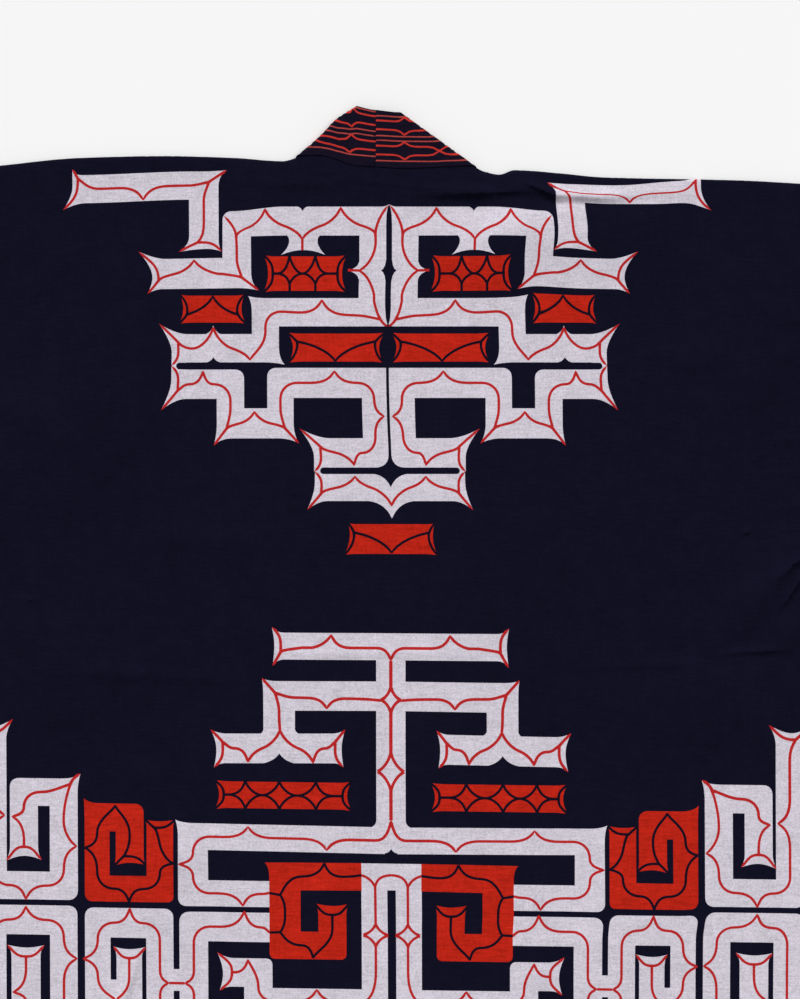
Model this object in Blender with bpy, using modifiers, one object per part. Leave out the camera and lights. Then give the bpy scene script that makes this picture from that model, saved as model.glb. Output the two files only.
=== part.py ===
"""Ainu jacket laid flat on its front, back up, as seven thin cloth solids.

The jacket is cut like a short kimono: a wide back with no centre seam that turns
over the shoulders, two fronts that lie under it, two tapered sleeves made as
flattened tubes, and a straight collar band in two halves. The band is seamed at
the middle of the neck, stands above the neck seam, turns under along a slanting
fold at each side and runs down the front edges to the hem.

Metres, +Z up. The floor is z = 0, the collar points to +Y, the hem to -Y, and the
origin is under the middle of the jacket.
"""

import math
from collections import namedtuple

import bmesh
import bpy
from mathutils import Vector

OBJECT_NAME = "ainu_jacket"

# Cloth and seams
CLOTH = 0.0012          # wall of one layer of cotton
BAND = 0.0022           # collar band, two layers pressed together
SEAM_GAP = 0.0003       # clear distance at a seam and between layers
ARMHOLE_GAP = 0.0007    # the sleeve's cut edge leans by its slope, so it starts further out

# Cut of the body and the sleeves
BODY_WIDTH = 0.670
HALF_LENGTH = 0.473     # half of the length from collar peak to hem
HEM_Y = -HALF_LENGTH
CUFF_X = 0.645
CUFF_WIDTH = 0.190
CUFF_LEAN = 0.014       # how far the cuff's lower corner stands back
UNDERARM_Y = 0.096
UNDERARM_EASE = 0.020   # length over which the side seam closes below the armhole
SHOULDER_SETBACK = 0.0018   # the fronts' upper edges stand back inside the shoulder fold
FRONT_SIDE_START = 0.065    # the fronts step in this far above the underarm
SHOULDER_EASE = 0.010   # the shoulder fold opens out to the flat neck seam over this width
SIDE_SETBACK = 0.0008       # and their side edges inside the side seams

# Heights of the cloth that shows, measured to its outer side
LAYER_TOP = CLOTH + SEAM_GAP + CLOTH
EDGE_TOP = 0.0036       # soft folded edges stay a little open
EDGE_RADIUS = EDGE_TOP / 2
EDGE_STRIP = EDGE_RADIUS * (1.0 + math.pi / 2)  # width of the cloth that turns down
OVER_BAND_TOP = BAND + SEAM_GAP + CLOTH + 0.0003
NECK_TOP = 0.0046
EDGE_CLEAR = 0.0005     # the back's turned edges end just off the floor
EDGE_REACH = 0.030      # the cloth comes down to its edges over this distance
CENTRE_REACH = 0.105    # half width of the stretch that lies over the two bands
CENTRE_EASE = 0.040
NECK_REACH = 0.045
NECK_HALF = 0.080
NECK_CORNER_GAP = 0.0012    # the back stays clear of the band's fold at the neck corners
NECK_CORNER_REACH = 0.009

# Collar band
BAND_WIDTH = 0.0445
BAND_SEAM_X = -0.011    # the seam at the middle of the neck
BAND_FOLD_RADIUS = 0.0017
BAND_LEVEL_REACH = 0.030    # over this length the band takes up the neck seam's slope
BAND_FOLLOW = 0.8           # and this much of it
BAND_TURN_START = 0.030
BAND_TURN_LENGTH = 0.150

# How finely the surfaces are divided
BACK_STEP = 0.025
BACK_ROW_STEP = 0.028
SHOULDER_ROWS = (0.0, 0.009, 0.020, 0.032, 0.046, 0.062)    # distances below the shoulder
SLEEVE_STEP = 0.030
SLEEVE_UNDER_STEPS = 5
ARC_STEPS = 4
BAND_ROWS = 3
NECK_STEPS = 7          # steps along each half of the neck seam
BAND_TURN_STEPS = 8
BAND_STRAIGHT_STEPS = 8
FRONT_COLUMNS = 7

EdgePoint = namedtuple("EdgePoint", "across along")
Fold = namedtuple("Fold", "across along turn length width height")
Collar = namedtuple("Collar", "side neck_end peak start_turn")

# Upper edge of sleeve and shoulder, from the left cuff to the neck
LEFT_SHOULDER = (
    EdgePoint(-0.645, 0.393),
    EdgePoint(-0.470, 0.410),
    EdgePoint(-0.304, 0.427),
    EdgePoint(-0.242, 0.433),
    EdgePoint(-0.176, 0.4345),
    EdgePoint(-0.121, 0.433),
    EdgePoint(-0.084, 0.4305),
    EdgePoint(-0.072, 0.4345),
)

# Neck seam, from left to right
NECK_SEAM = (
    EdgePoint(-0.072, 0.4345),
    EdgePoint(-0.053, 0.434),
    EdgePoint(-0.031, 0.429),
    EdgePoint(-0.010, 0.426),
    EdgePoint(0.029, 0.4265),
    EdgePoint(0.066, 0.427),
)

# Upper edge from the neck to the right cuff, dipping beside the collar
RIGHT_SHOULDER = (
    EdgePoint(0.066, 0.427),
    EdgePoint(0.074, 0.4225),
    EdgePoint(0.085, 0.420),
    EdgePoint(0.097, 0.4235),
    EdgePoint(0.133, 0.421),
    EdgePoint(0.164, 0.418),
    EdgePoint(0.273, 0.4155),
    EdgePoint(0.320, 0.413),
    EdgePoint(0.470, 0.405),
    EdgePoint(0.645, 0.393),
)

# The two halves of the band: the lower and upper end of the slanting fold, and the
# direction in degrees in which the band reaches it
COLLARS = (
    Collar(-1, EdgePoint(-0.072, 0.4355), EdgePoint(-0.0262, 0.473), 172.0),
    Collar(1, EdgePoint(0.0665, 0.4270), EdgePoint(0.0094, 0.468), 0.0),
)

# Largest folds and swells of the cloth that shows: middle, direction in degrees,
# length, half width and height (a negative height is a trough)
FOLDS = (
    Fold(0.085, 0.398, 8, 0.170, 0.012, -0.0030),
    Fold(0.150, 0.402, -22, 0.110, 0.014, -0.0030),
    Fold(0.150, 0.375, -4, 0.260, 0.034, 0.0042),
    Fold(0.070, 0.360, 4, 0.180, 0.030, 0.0030),
    Fold(-0.007, 0.130, 88, 0.420, 0.022, -0.0022),
    Fold(-0.060, 0.130, 90, 0.420, 0.045, 0.0022),
    Fold(0.060, 0.130, 90, 0.420, 0.045, 0.0022),
    Fold(-0.255, 0.220, 38, 0.240, 0.050, 0.0044),
    Fold(-0.190, 0.170, 38, 0.260, 0.030, -0.0022),
    Fold(0.300, 0.105, 52, 0.160, 0.016, 0.0052),
    Fold(0.322, 0.070, 40, 0.120, 0.014, 0.0048),
    Fold(-0.318, 0.085, 132, 0.150, 0.018, 0.0046),
    Fold(0.270, 0.048, 0, 0.170, 0.014, -0.0030),
    Fold(0.250, 0.010, 3, 0.260, 0.040, 0.0034),
    Fold(0.285, 0.290, 84, 0.300, 0.040, 0.0034),
    Fold(-0.260, 0.030, 2, 0.260, 0.045, 0.0034),
    Fold(-0.180, -0.120, 84, 0.240, 0.050, 0.0030),
    Fold(0.190, -0.150, 96, 0.260, 0.055, 0.0032),
    Fold(-0.120, -0.330, 76, 0.240, 0.045, 0.0034),
    Fold(0.150, -0.360, 98, 0.220, 0.040, 0.0032),
    Fold(0.020, -0.300, 88, 0.280, 0.050, 0.0026),
    Fold(-0.430, 0.300, 12, 0.300, 0.030, 0.0040),
    Fold(-0.440, 0.220, 24, 0.260, 0.026, 0.0036),
    Fold(0.440, 0.310, -14, 0.300, 0.030, 0.0040),
    Fold(0.430, 0.215, -26, 0.260, 0.026, 0.0036),
)

NAVY = (0.0065, 0.0060, 0.0160, 1.0)
NAVY_INSIDE = (0.0080, 0.0074, 0.0185, 1.0)
NAVY_BAND = (0.0072, 0.0062, 0.0165, 1.0)
COTTON_ROUGHNESS = 0.92


def smoothstep(value):
    """Ease from 0 to 1 as value goes from 0 to 1."""
    value = min(1.0, max(0.0, value))
    return value * value * (3.0 - 2.0 * value)


def mix(start, end, share):
    return start + (end - start) * share


def curve_height(points, across):
    """Height of the smooth curve through the points, flat at its highs and lows."""
    across = min(points[-1].across, max(points[0].across, across))
    index = 0
    while index < len(points) - 2 and across > points[index + 1].across:
        index += 1
    slopes = []
    for end in (index, index + 1):
        before = max(0, end - 1)
        after = min(len(points) - 1, end + 1)
        left = chord_slope(points, before, end)
        right = chord_slope(points, end, after)
        if left is None:
            slopes.append(right)
        elif right is None:
            slopes.append(left)
        elif left * right <= 0.0:
            slopes.append(0.0)
        else:
            slopes.append(2.0 * left * right / (left + right))
    start = points[index]
    end = points[index + 1]
    span = end.across - start.across
    share = (across - start.across) / span
    rise = end.along - start.along
    bend = (slopes[0] * span - rise) * (1.0 - share) - (slopes[1] * span - rise) * share
    return start.along + share * rise + share * (1.0 - share) * bend


def chord_slope(points, start, end):
    """Slope of the straight line between two of the points, or None for one point."""
    if start == end:
        return None
    rise = points[end].along - points[start].along
    return rise / (points[end].across - points[start].across)


def top_edge(across):
    """Upper outline of the jacket without its collar."""
    if across <= NECK_SEAM[0].across:
        return curve_height(LEFT_SHOULDER, across)
    if across >= NECK_SEAM[-1].across:
        return curve_height(RIGHT_SHOULDER, across)
    return curve_height(NECK_SEAM, across)


def under_edge(across):
    """Lower outline of a sleeve, from the underarm up to the cuff."""
    share = (abs(across) - BODY_WIDTH / 2) / (CUFF_X - BODY_WIDTH / 2)
    cuff_low = curve_height(RIGHT_SHOULDER, CUFF_X) - CUFF_WIDTH
    return mix(UNDERARM_Y, cuff_low, min(1.0, max(0.0, share)))


def fold_height(across, along):
    """Sum of the folds and swells at a place, tapered to their ends and sides."""
    height = 0.0
    for fold in FOLDS:
        angle = math.radians(fold.turn)
        offset = Vector((across - fold.across, along - fold.along))
        lengthwise = offset.dot(Vector((math.cos(angle), math.sin(angle))))
        sideways = offset.dot(Vector((-math.sin(angle), math.cos(angle))))
        end_share = abs(lengthwise) / (fold.length / 2)
        if end_share < 1.0:
            taper = 1.0 - smoothstep(end_share)
            height += fold.height * taper * math.exp(-(sideways / fold.width) ** 2)
    return height


def edge_distance(across, along):
    """Distance to the nearest soft folded edge: shoulder, side seam or underarm."""
    distance = top_edge(across) - along
    if abs(across) > BODY_WIDTH / 2:
        return min(distance, along - under_edge(across))
    if along < UNDERARM_Y:
        distance = min(distance, BODY_WIDTH / 2 - abs(across))
    return distance


def top_height(across, along):
    """Height of the outer side of the cloth that shows, above the floor."""
    centre = 1.0 - smoothstep((abs(across) - CENTRE_REACH) / CENTRE_EASE)
    base = mix(LAYER_TOP, OVER_BAND_TOP, centre)
    edge = 1.0 - smoothstep(edge_distance(across, along) / EDGE_REACH)
    swell = max(0.0, fold_height(across, along)) * (1.0 - edge)
    neck_side = 1.0 - smoothstep((abs(across) - NECK_HALF) / CENTRE_EASE)
    neck = neck_side * (1.0 - smoothstep((top_edge(across) - along) / NECK_REACH))
    base = mix(max(base, mix(base, EDGE_TOP, edge)), NECK_TOP, neck)
    return base + swell


def turned_edge(share, amount):
    """A strip of cloth along an edge that turns down to the floor.

    Returns how far it has gone outwards and down. With no amount it stays flat.
    """
    arc = EDGE_RADIUS * math.pi / 2
    travelled = share * EDGE_STRIP
    if amount < 0.001:
        return travelled, 0.0
    bend_radius = EDGE_RADIUS / amount
    bent = min(travelled, arc)
    angle = bent / bend_radius
    outwards = bend_radius * math.sin(angle)
    down = bend_radius * (1.0 - math.cos(angle))
    straight = max(0.0, travelled - arc)
    return outwards + straight * math.cos(angle), down + straight * math.sin(angle)


def edge_shares():
    """Places along a turned edge: through its arc, then down to the floor."""
    arc = EDGE_RADIUS * math.pi / 2
    return [arc * step / ARC_STEPS / EDGE_STRIP for step in range(1, ARC_STEPS + 1)] + [1.0]


def even_steps(start, end, step):
    """Evenly spaced places from start to end, about one step apart."""
    count = max(1, round(abs(end - start) / step))
    return [mix(start, end, index / count) for index in range(count + 1)]


def surface_object(name, grid, closed, colour, wall, offset):
    """Object from rows of points, given its wall by Solidify."""
    mesh = bpy.data.meshes.new(name)
    shape = bmesh.new()
    verts = [[shape.verts.new(point) for point in row] for row in grid]
    last = len(verts[0]) if closed else len(verts[0]) - 1
    for upper, lower in zip(verts, verts[1:]):
        for index in range(last):
            after = (index + 1) % len(upper)
            shape.faces.new((upper[index], lower[index], lower[after], upper[after]))
    bmesh.ops.recalc_face_normals(shape, faces=shape.faces)
    shape.faces.ensure_lookup_table()
    lifted = max(shape.faces, key=lambda face: face.calc_center_median().z)
    if lifted.normal.z < 0.0:
        bmesh.ops.reverse_faces(shape, faces=shape.faces)
    shape.to_mesh(mesh)
    shape.free()
    mesh.shade_smooth()
    mesh.set_sharp_from_angle(angle=math.radians(50))
    piece = bpy.data.objects.new(name, mesh)
    thickness = piece.modifiers.new("wall", "SOLIDIFY")
    thickness.thickness = wall
    thickness.offset = offset
    thickness.use_even_offset = True
    piece.data.materials.append(cotton(name + "_cotton", colour))
    return piece


def cotton(name, colour):
    """Dull woven cotton in one colour."""
    material = bpy.data.materials.new(name)
    material.use_nodes = True
    shader = material.node_tree.nodes["Principled BSDF"]
    shader.inputs["Base Color"].default_value = colour
    shader.inputs["Roughness"].default_value = COTTON_ROUGHNESS
    shader.inputs["Metallic"].default_value = 0.0
    return material


def side_turn(along):
    """How far a side edge is turned down: flat at the armhole, full at the side seam."""
    return smoothstep((UNDERARM_Y - along) / UNDERARM_EASE)


def shoulder_turn(across):
    """How far the upper edge is turned down: flat at the neck seam, full beside it."""
    left = NECK_SEAM[0].across - SEAM_GAP - across
    right = across - NECK_SEAM[-1].across - SEAM_GAP
    return smoothstep(max(left, right) / SHOULDER_EASE)


def neck_gap(across):
    """Gap between the back and the band along the neck seam, wider at its corners."""
    left = across - NECK_SEAM[0].across
    right = NECK_SEAM[-1].across - across
    corner = 1.0 - smoothstep(min(left, right) / NECK_CORNER_REACH)
    return mix(SEAM_GAP, NECK_CORNER_GAP, corner)


def neck_shares():
    """Shares of the way from the middle of the neck seam to its end, closer at the end."""
    return [1.0 - (1.0 - step / NECK_STEPS) ** 1.5 for step in range(NECK_STEPS + 1)]


def neck_places(end):
    """Places across, from the middle of the neck seam to one of its ends."""
    return [mix(BAND_SEAM_X, end, share) for share in neck_shares()]


def back_columns():
    """Columns of the back between its side edges, closer together at the neck."""
    neck_left = NECK_SEAM[0].across
    neck_right = NECK_SEAM[-1].across
    inner = BODY_WIDTH / 2 - EDGE_STRIP
    beside = 1.2 * SHOULDER_EASE
    columns = even_steps(-inner, neck_left - beside, BACK_STEP)
    columns.append(neck_left - beside / 2)
    columns += reversed(neck_places(neck_left))
    columns += neck_places(neck_right)[1:]
    columns.append(neck_right + beside / 2)
    columns += even_steps(neck_right + beside, inner, BACK_STEP)
    return columns


def back_panel():
    """The wide back: turned down over the shoulders and along the side seams."""
    shares = edge_shares()
    middle = [(column, 0.0, 0) for column in back_columns()]
    left = [(middle[0][0], share, -1) for share in reversed(shares)]
    right = [(middle[-1][0], share, 1) for share in shares]
    stations = left + middle + right
    rows = list(SHOULDER_ROWS[:-1])
    rows += even_steps(SHOULDER_ROWS[-1], 2.0 * HALF_LENGTH, BACK_ROW_STEP)
    grid = []
    for share in reversed(shares):
        grid.append([back_point(station, share, 0.0) for station in stations])
    for row in rows:
        fraction = row / (2.0 * HALF_LENGTH)
        grid.append([back_point(station, 0.0, fraction) for station in stations])
    return surface_object("back", grid, False, NAVY, CLOTH, -1.0)


def back_point(station, top_share, fraction):
    """One point of the back, from its column, its place in the edge and its row."""
    column, side_share, side = station
    turn = shoulder_turn(column)
    amount = turn if top_share > 0.0 else 0.0
    top_gap = neck_gap(column) * (1.0 - turn)
    start = top_edge(column) - top_gap - turned_edge(1.0, turn)[0]
    outwards, down = turned_edge(top_share, turn)
    along = mix(start, HEM_Y, fraction) + outwards
    across = column
    if side:
        amount = side_turn(along)
        spread = turned_edge(1.0, amount)[0]
        sideways, side_down = turned_edge(side_share, amount)
        across = side * (BODY_WIDTH / 2 - spread + sideways)
        down += side_down
    elif abs(column) > BODY_WIDTH / 2 - 1.5 * EDGE_STRIP:
        spread = turned_edge(1.0, side_turn(along))[0]
        across = math.copysign(BODY_WIDTH / 2 - spread, column)
    height = top_height(across, min(along, start))
    if top_share > 0.0:
        height = mix(height, EDGE_TOP, turn)
    # A cut edge that is only partly turned down keeps its inner corner off the floor.
    lowest = EDGE_CLEAR + CLOTH * math.cos(amount * math.pi / 2)
    height = max(lowest, height * (1.0 - down / EDGE_TOP))
    return Vector((across, along, height))


def sleeve(side):
    """A sleeve: a flattened tube, open at the armhole and at the cuff."""
    stations = even_steps(0.0, 1.0, SLEEVE_STEP / (CUFF_X - BODY_WIDTH / 2))
    upper_count = round((top_edge(BODY_WIDTH / 2) - UNDERARM_Y) / SLEEVE_STEP)
    angles = [math.pi * step / (2 * ARC_STEPS) for step in range(2 * ARC_STEPS + 1)]
    grid = []
    for station in stations:
        ring = []
        for step in range(1, upper_count):
            across, along = sleeve_place(side, station, step / upper_count)
            ring.append(Vector((across, along, top_height(across, along))))
        ring += [sleeve_fold_point(side, station, 1.0, angle) for angle in angles]
        for step in range(1, SLEEVE_UNDER_STEPS):
            across, along = sleeve_place(side, station, 1.0 - step / SLEEVE_UNDER_STEPS)
            ring.append(Vector((across, along, 0.0)))
        ring += [sleeve_fold_point(side, station, 0.0, angle) for angle in reversed(angles)]
        grid.append(ring)
    name = "sleeve_left" if side < 0 else "sleeve_right"
    return surface_object(name, grid, True, NAVY, CLOTH, -1.0)


def sleeve_place(side, station, depth):
    """Place on a sleeve: depth runs from the middle of its upper fold to its lower one."""
    lean = CUFF_LEAN * depth * smoothstep(station)
    across = side * (mix(BODY_WIDTH / 2 + ARMHOLE_GAP, CUFF_X, station) - lean)
    high = top_edge(across) - EDGE_RADIUS
    low = under_edge(across) + EDGE_RADIUS
    return across, mix(high, low, depth)


def sleeve_fold_point(side, station, depth, angle):
    """Point on a sleeve's upper (depth 0) or lower (depth 1) fold, angle from its top."""
    across, along = sleeve_place(side, station, depth)
    outwards = EDGE_RADIUS * math.sin(angle) * (1.0 - 2.0 * depth)
    return Vector((across, along + outwards, EDGE_RADIUS * (1.0 + math.cos(angle))))


class BandPath:
    """Where one half of the collar band lies.

    The band is first followed in the plane as if it ran on past the side of the
    neck, and is then turned under along the slanting fold, which mirrors it.
    """

    def __init__(self, collar):
        self.side = collar.side
        fold = Vector(collar.peak) - Vector(collar.neck_end)
        self.fold_angle = math.atan2(fold.y, fold.x)
        self.outwards = Vector((-fold.y, fold.x)).normalized()
        if self.outwards.x * self.side < 0.0:
            self.outwards.negate()
        bulge = BAND_FOLD_RADIUS + BAND / 2
        self.fold_point = Vector(collar.neck_end) - self.outwards * bulge
        self.start_angle = math.radians(collar.start_turn)
        # The direction that the fold mirrors to straight down.
        end_angle = 2.0 * self.fold_angle + math.pi / 2
        turn = end_angle - self.start_angle
        self.turn = math.atan2(math.sin(turn), math.cos(turn))
        self.neck_length = abs(collar.neck_end.across - BAND_SEAM_X) - SEAM_GAP / 2

    def sewn_edge(self, length):
        """Place and direction of the sewn edge, before the fold, at a length along it."""
        across = BAND_SEAM_X + self.side * (SEAM_GAP / 2 + min(length, self.neck_length))
        place = Vector((across, top_edge(across)))
        rest = length - self.neck_length
        if rest <= 0.0:
            ahead = across + self.side * 0.002
            if abs(ahead - BAND_SEAM_X) > self.neck_length:
                ahead = across - self.side * 0.002
                way = place - Vector((ahead, top_edge(ahead)))
            else:
                way = Vector((ahead, top_edge(ahead))) - place
            # The end at the middle of the neck is cut upright.
            blend = smoothstep(length / BAND_LEVEL_REACH)
            level = Vector((self.side, 0.0))
            return place, level.lerp(way.normalized(), blend * BAND_FOLLOW).normalized()
        angle = self.start_angle
        straight = min(rest, BAND_TURN_START)
        place += Vector((math.cos(angle), math.sin(angle))) * straight
        rest -= straight
        bend = min(rest, BAND_TURN_LENGTH)
        if bend > 0.0:
            rate = self.turn / BAND_TURN_LENGTH
            chord = Vector((math.cos(angle + rate * bend / 2), math.sin(angle + rate * bend / 2)))
            place += chord * (2.0 * math.sin(rate * bend / 2) / rate)
            angle += rate * bend
            rest -= bend
        place += Vector((math.cos(angle), math.sin(angle))) * rest
        return place, Vector((math.cos(angle), math.sin(angle)))

    def flat_point(self, length, width):
        """Place in the unfolded plane, width measured from the sewn edge."""
        place, way = self.sewn_edge(length)
        sideways = Vector((-way.y, way.x)) * self.side
        return place + sideways * width

    def folded_point(self, length, width):
        """Place of the middle of the band after it is turned under along its fold."""
        flat = self.flat_point(length, width)
        past = (flat - self.fold_point).dot(self.outwards)
        low = BAND / 2
        arc = math.pi * BAND_FOLD_RADIUS
        if past <= 0.0:
            return Vector((flat.x, flat.y, low + 2.0 * BAND_FOLD_RADIUS))
        base = flat - self.outwards * past
        if past < arc:
            angle = past / BAND_FOLD_RADIUS
            place = base + self.outwards * (BAND_FOLD_RADIUS * math.sin(angle))
            height = low + BAND_FOLD_RADIUS * (1.0 + math.cos(angle))
            return Vector((place.x, place.y, height))
        place = base - self.outwards * (past - arc)
        return Vector((place.x, place.y, low))

    def length_past_fold(self, width, past):
        """Length along the band at which a line of it has gone so far past the fold."""
        low = 0.0
        high = self.neck_length + BAND_TURN_START + 2.0 * BAND_WIDTH
        for _ in range(40):
            middle = (low + high) / 2
            flat = self.flat_point(middle, width)
            if (flat - self.fold_point).dot(self.outwards) < past:
                low = middle
            else:
                high = middle
        return (low + high) / 2

    def upper_lengths(self, width):
        """Places along a line of the band that shows, from the middle to the fold."""
        before = self.length_past_fold(width, 0.0)
        return [before * share for share in neck_shares()[:-1]]

    def turn_end(self):
        """Length along the band where it has turned straight down to the hem."""
        return self.neck_length + BAND_TURN_START + BAND_TURN_LENGTH

    def hem_length(self):
        """Length along the sewn edge at which the folded band reaches the hem."""
        turned = self.turn_end()
        return turned + self.folded_point(turned, 0.0).y - HEM_Y

    def lower_lengths(self, width):
        """Places along a line of the band, from its fold down to the hem."""
        start = self.length_past_fold(width, math.pi * BAND_FOLD_RADIUS)
        turned = self.turn_end()
        steps = [step / BAND_TURN_STEPS for step in range(BAND_TURN_STEPS)]
        lengths = [mix(start, turned, share) for share in steps]
        steps = [step / BAND_STRAIGHT_STEPS for step in range(BAND_STRAIGHT_STEPS + 1)]
        return lengths + [mix(turned, self.hem_length(), share) for share in steps]


def collar_half(collar):
    """Half of the collar band, from the middle of the neck to the hem."""
    path = BandPath(collar)
    arc = math.pi * BAND_FOLD_RADIUS
    steps = 2 * ARC_STEPS
    rows = []
    for row in range(BAND_ROWS + 1):
        width = BAND_WIDTH * row / BAND_ROWS
        lengths = path.upper_lengths(width)
        lengths += [path.length_past_fold(width, arc * step / steps) for step in range(steps)]
        lengths += path.lower_lengths(width)
        rows.append([path.folded_point(length, width) for length in lengths])
    name = "collar_left" if collar.side < 0 else "collar_right"
    return surface_object(name, rows, False, NAVY_BAND, BAND, 0.0)


def front_panel(collar):
    """A front: one flat layer on the floor, from the band to the side seam."""
    path = BandPath(collar)
    side = collar.side
    inner_edge = [path.folded_point(length, -SEAM_GAP) for length in path.lower_lengths(0.0)]
    highest = inner_edge[0].y
    side_setback = CLOTH + SEAM_GAP + SIDE_SETBACK
    top_setback = CLOTH + SEAM_GAP + SHOULDER_SETBACK
    grid = []
    for inner in inner_edge:
        fraction = (highest - inner.y) / (highest - HEM_Y)
        line = [Vector((inner.x, inner.y, 0.0))]
        for column in range(1, FRONT_COLUMNS + 1):
            share = (column / FRONT_COLUMNS) ** 1.5
            along = inner.y
            for _ in range(4):
                turned = side_turn(along - FRONT_SIDE_START)
                outer = side * (BODY_WIDTH / 2 - turned * side_setback)
                across = mix(inner.x, outer, share)
                along = mix(top_edge(across) - top_setback, HEM_Y, fraction)
            line.append(Vector((across, along, 0.0)))
        grid.append(line)
    name = "front_left" if side < 0 else "front_right"
    return surface_object(name, grid, False, NAVY_INSIDE, CLOTH, 1.0)


def clear_scene():
    for old in list(bpy.data.objects):
        bpy.data.objects.remove(old, do_unlink=True)


def main():
    clear_scene()
    jacket = bpy.data.collections.new(OBJECT_NAME)
    bpy.context.scene.collection.children.link(jacket)
    pieces = [back_panel()]
    for collar in COLLARS:
        pieces.append(front_panel(collar))
    for side in (-1, 1):
        pieces.append(sleeve(side))
    for collar in COLLARS:
        pieces.append(collar_half(collar))
    for piece in pieces:
        jacket.objects.link(piece)


main()
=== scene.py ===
"""Looks of an Ainu jacket laid flat, back up.

The back carries a block print in white and red with thin lines, made of bands
that turn at right angles and end in thorns. The print is laid out on the flat
cut of the back, in millimetres out from its middle and down from its top, and
the cloth is divided along its edges before it is laid over the fronts. Sleeves,
fronts and the two halves of the collar band are thin cloth on the same form.
"""

import math
from collections import namedtuple

import bmesh
import bpy
import numpy as np
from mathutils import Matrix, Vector
from mathutils.geometry import delaunay_2d_cdt


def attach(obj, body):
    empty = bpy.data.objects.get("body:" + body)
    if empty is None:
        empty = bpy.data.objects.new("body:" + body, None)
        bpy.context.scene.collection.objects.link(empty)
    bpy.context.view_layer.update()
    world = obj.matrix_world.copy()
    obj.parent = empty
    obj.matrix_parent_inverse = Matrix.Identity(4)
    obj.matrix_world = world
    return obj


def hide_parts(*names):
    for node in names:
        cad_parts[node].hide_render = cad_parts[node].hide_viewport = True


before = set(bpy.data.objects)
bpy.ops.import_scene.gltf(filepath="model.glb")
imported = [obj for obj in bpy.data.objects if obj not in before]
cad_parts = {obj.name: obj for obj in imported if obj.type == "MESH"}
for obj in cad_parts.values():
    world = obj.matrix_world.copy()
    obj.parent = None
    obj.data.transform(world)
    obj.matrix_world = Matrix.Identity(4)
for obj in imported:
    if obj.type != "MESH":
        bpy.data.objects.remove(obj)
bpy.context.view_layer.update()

bl_info = {
    "name": "Printed Ainu jacket",
    "version": (1, 0, 0),
    "blender": (4, 5, 0),
    "location": "3D View > Sidebar > Jacket",
    "description": "Makes the cloth, print, seams and stage of a jacket laid flat",
    "category": "Mesh",
}

BODY = "root"
MM = 0.001

# Cloth and seams of the solids
CLOTH = 0.0012
BAND = 0.0022
SEAM_GAP = 0.0003
BODY_WIDTH = 0.670
HALF_WIDTH = BODY_WIDTH / 2
HALF_LENGTH = 0.473
HEM_Y = -HALF_LENGTH
CUFF_X = 0.645
CUFF_WIDTH = 0.190
CUFF_LEAN = 0.014
UNDERARM_Y = 0.096
UNDERARM_EASE = 0.020
SHOULDER_SETBACK = 0.0018
FRONT_SIDE_START = 0.065
SHOULDER_EASE = 0.010
SIDE_SETBACK = 0.0008
LAYER_TOP = CLOTH + SEAM_GAP + CLOTH
EDGE_TOP = 0.0036
EDGE_RADIUS = EDGE_TOP / 2
EDGE_STRIP = EDGE_RADIUS * (1.0 + math.pi / 2)
OVER_BAND_TOP = BAND + SEAM_GAP + CLOTH + 0.0003
NECK_TOP = 0.0046
EDGE_CLEAR = 0.0005
EDGE_REACH = 0.030
CENTRE_REACH = 0.105
CENTRE_EASE = 0.040
NECK_REACH = 0.045
NECK_HALF = 0.080
NECK_CORNER_GAP = 0.0012
NECK_CORNER_REACH = 0.009
BAND_WIDTH = 0.0445
BAND_SEAM_X = -0.011
BAND_FOLD_RADIUS = 0.0017
BAND_LEVEL_REACH = 0.030
BAND_TURN_START = 0.030
BAND_TURN_LENGTH = 0.150
FOLD_BOW_AT = 0.041
FOLD_BOW_REACH = 0.014
LOOK_AHEAD = 0.002  # how far ahead the way of the neck seam is measured
HALVINGS = 24

# Cloth shown here: thinner than the solids, on their outer side
SHOWN_WALL = 0.0009
SHOWN_BAND = 0.0019
SHOWN_WIDTH = 0.0437  # band as it shows, a little narrower than its solid
CENTRE_GAP = 0.00004
SOFT_FLOOR = 0.0014  # how softly a trough meets the flat cloth
FLAT_TURN = 0.001  # an edge that turns less than this share is flat
BACK_GRID = 6.5  # millimetres between the points of the cloth
CREASE_GRID = 1.8  # and across its sharper creases
EDGE_STEP = 4.0  # longest side along the edge of a printed shape
SLEEVE_STEP = 0.008
RIM_ANGLE = math.radians(40)
SEAM_ROLL = 1.5  # millimetres over which the halves of the band roll into their seam
SEAM_DEPTH = 0.0010
SEWN_GAP = 0.00006  # what stays open at the sewn neck and armholes
HEM_DEPTH = 0.009  # width of the turned hem and cuffs
HEM_RISE = 0.0005
HEM_SLOPE = 0.0016  # over which the turned hem falls to the single cloth
HEM_ROWS = (0.0, 0.0008, 0.0018)  # rows of points beyond the inner edge of a turned hem
SEWN_IN = 0.0075  # the running stitch lies this far in from the edge


def rows(kind, *values):
    """Named places or folds from rows of their values."""
    return tuple(kind(*row) for row in values)


EdgePoint = namedtuple("EdgePoint", "across along")
Fold = namedtuple("Fold", "across along turn length width height lee", defaults=(1.0,))
Collar = namedtuple("Collar", "side neck_end peak start_turn follow taper taper_length bulge "
                              "print_shift print_start")
Drift = namedtuple("Drift", "across along")

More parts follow.
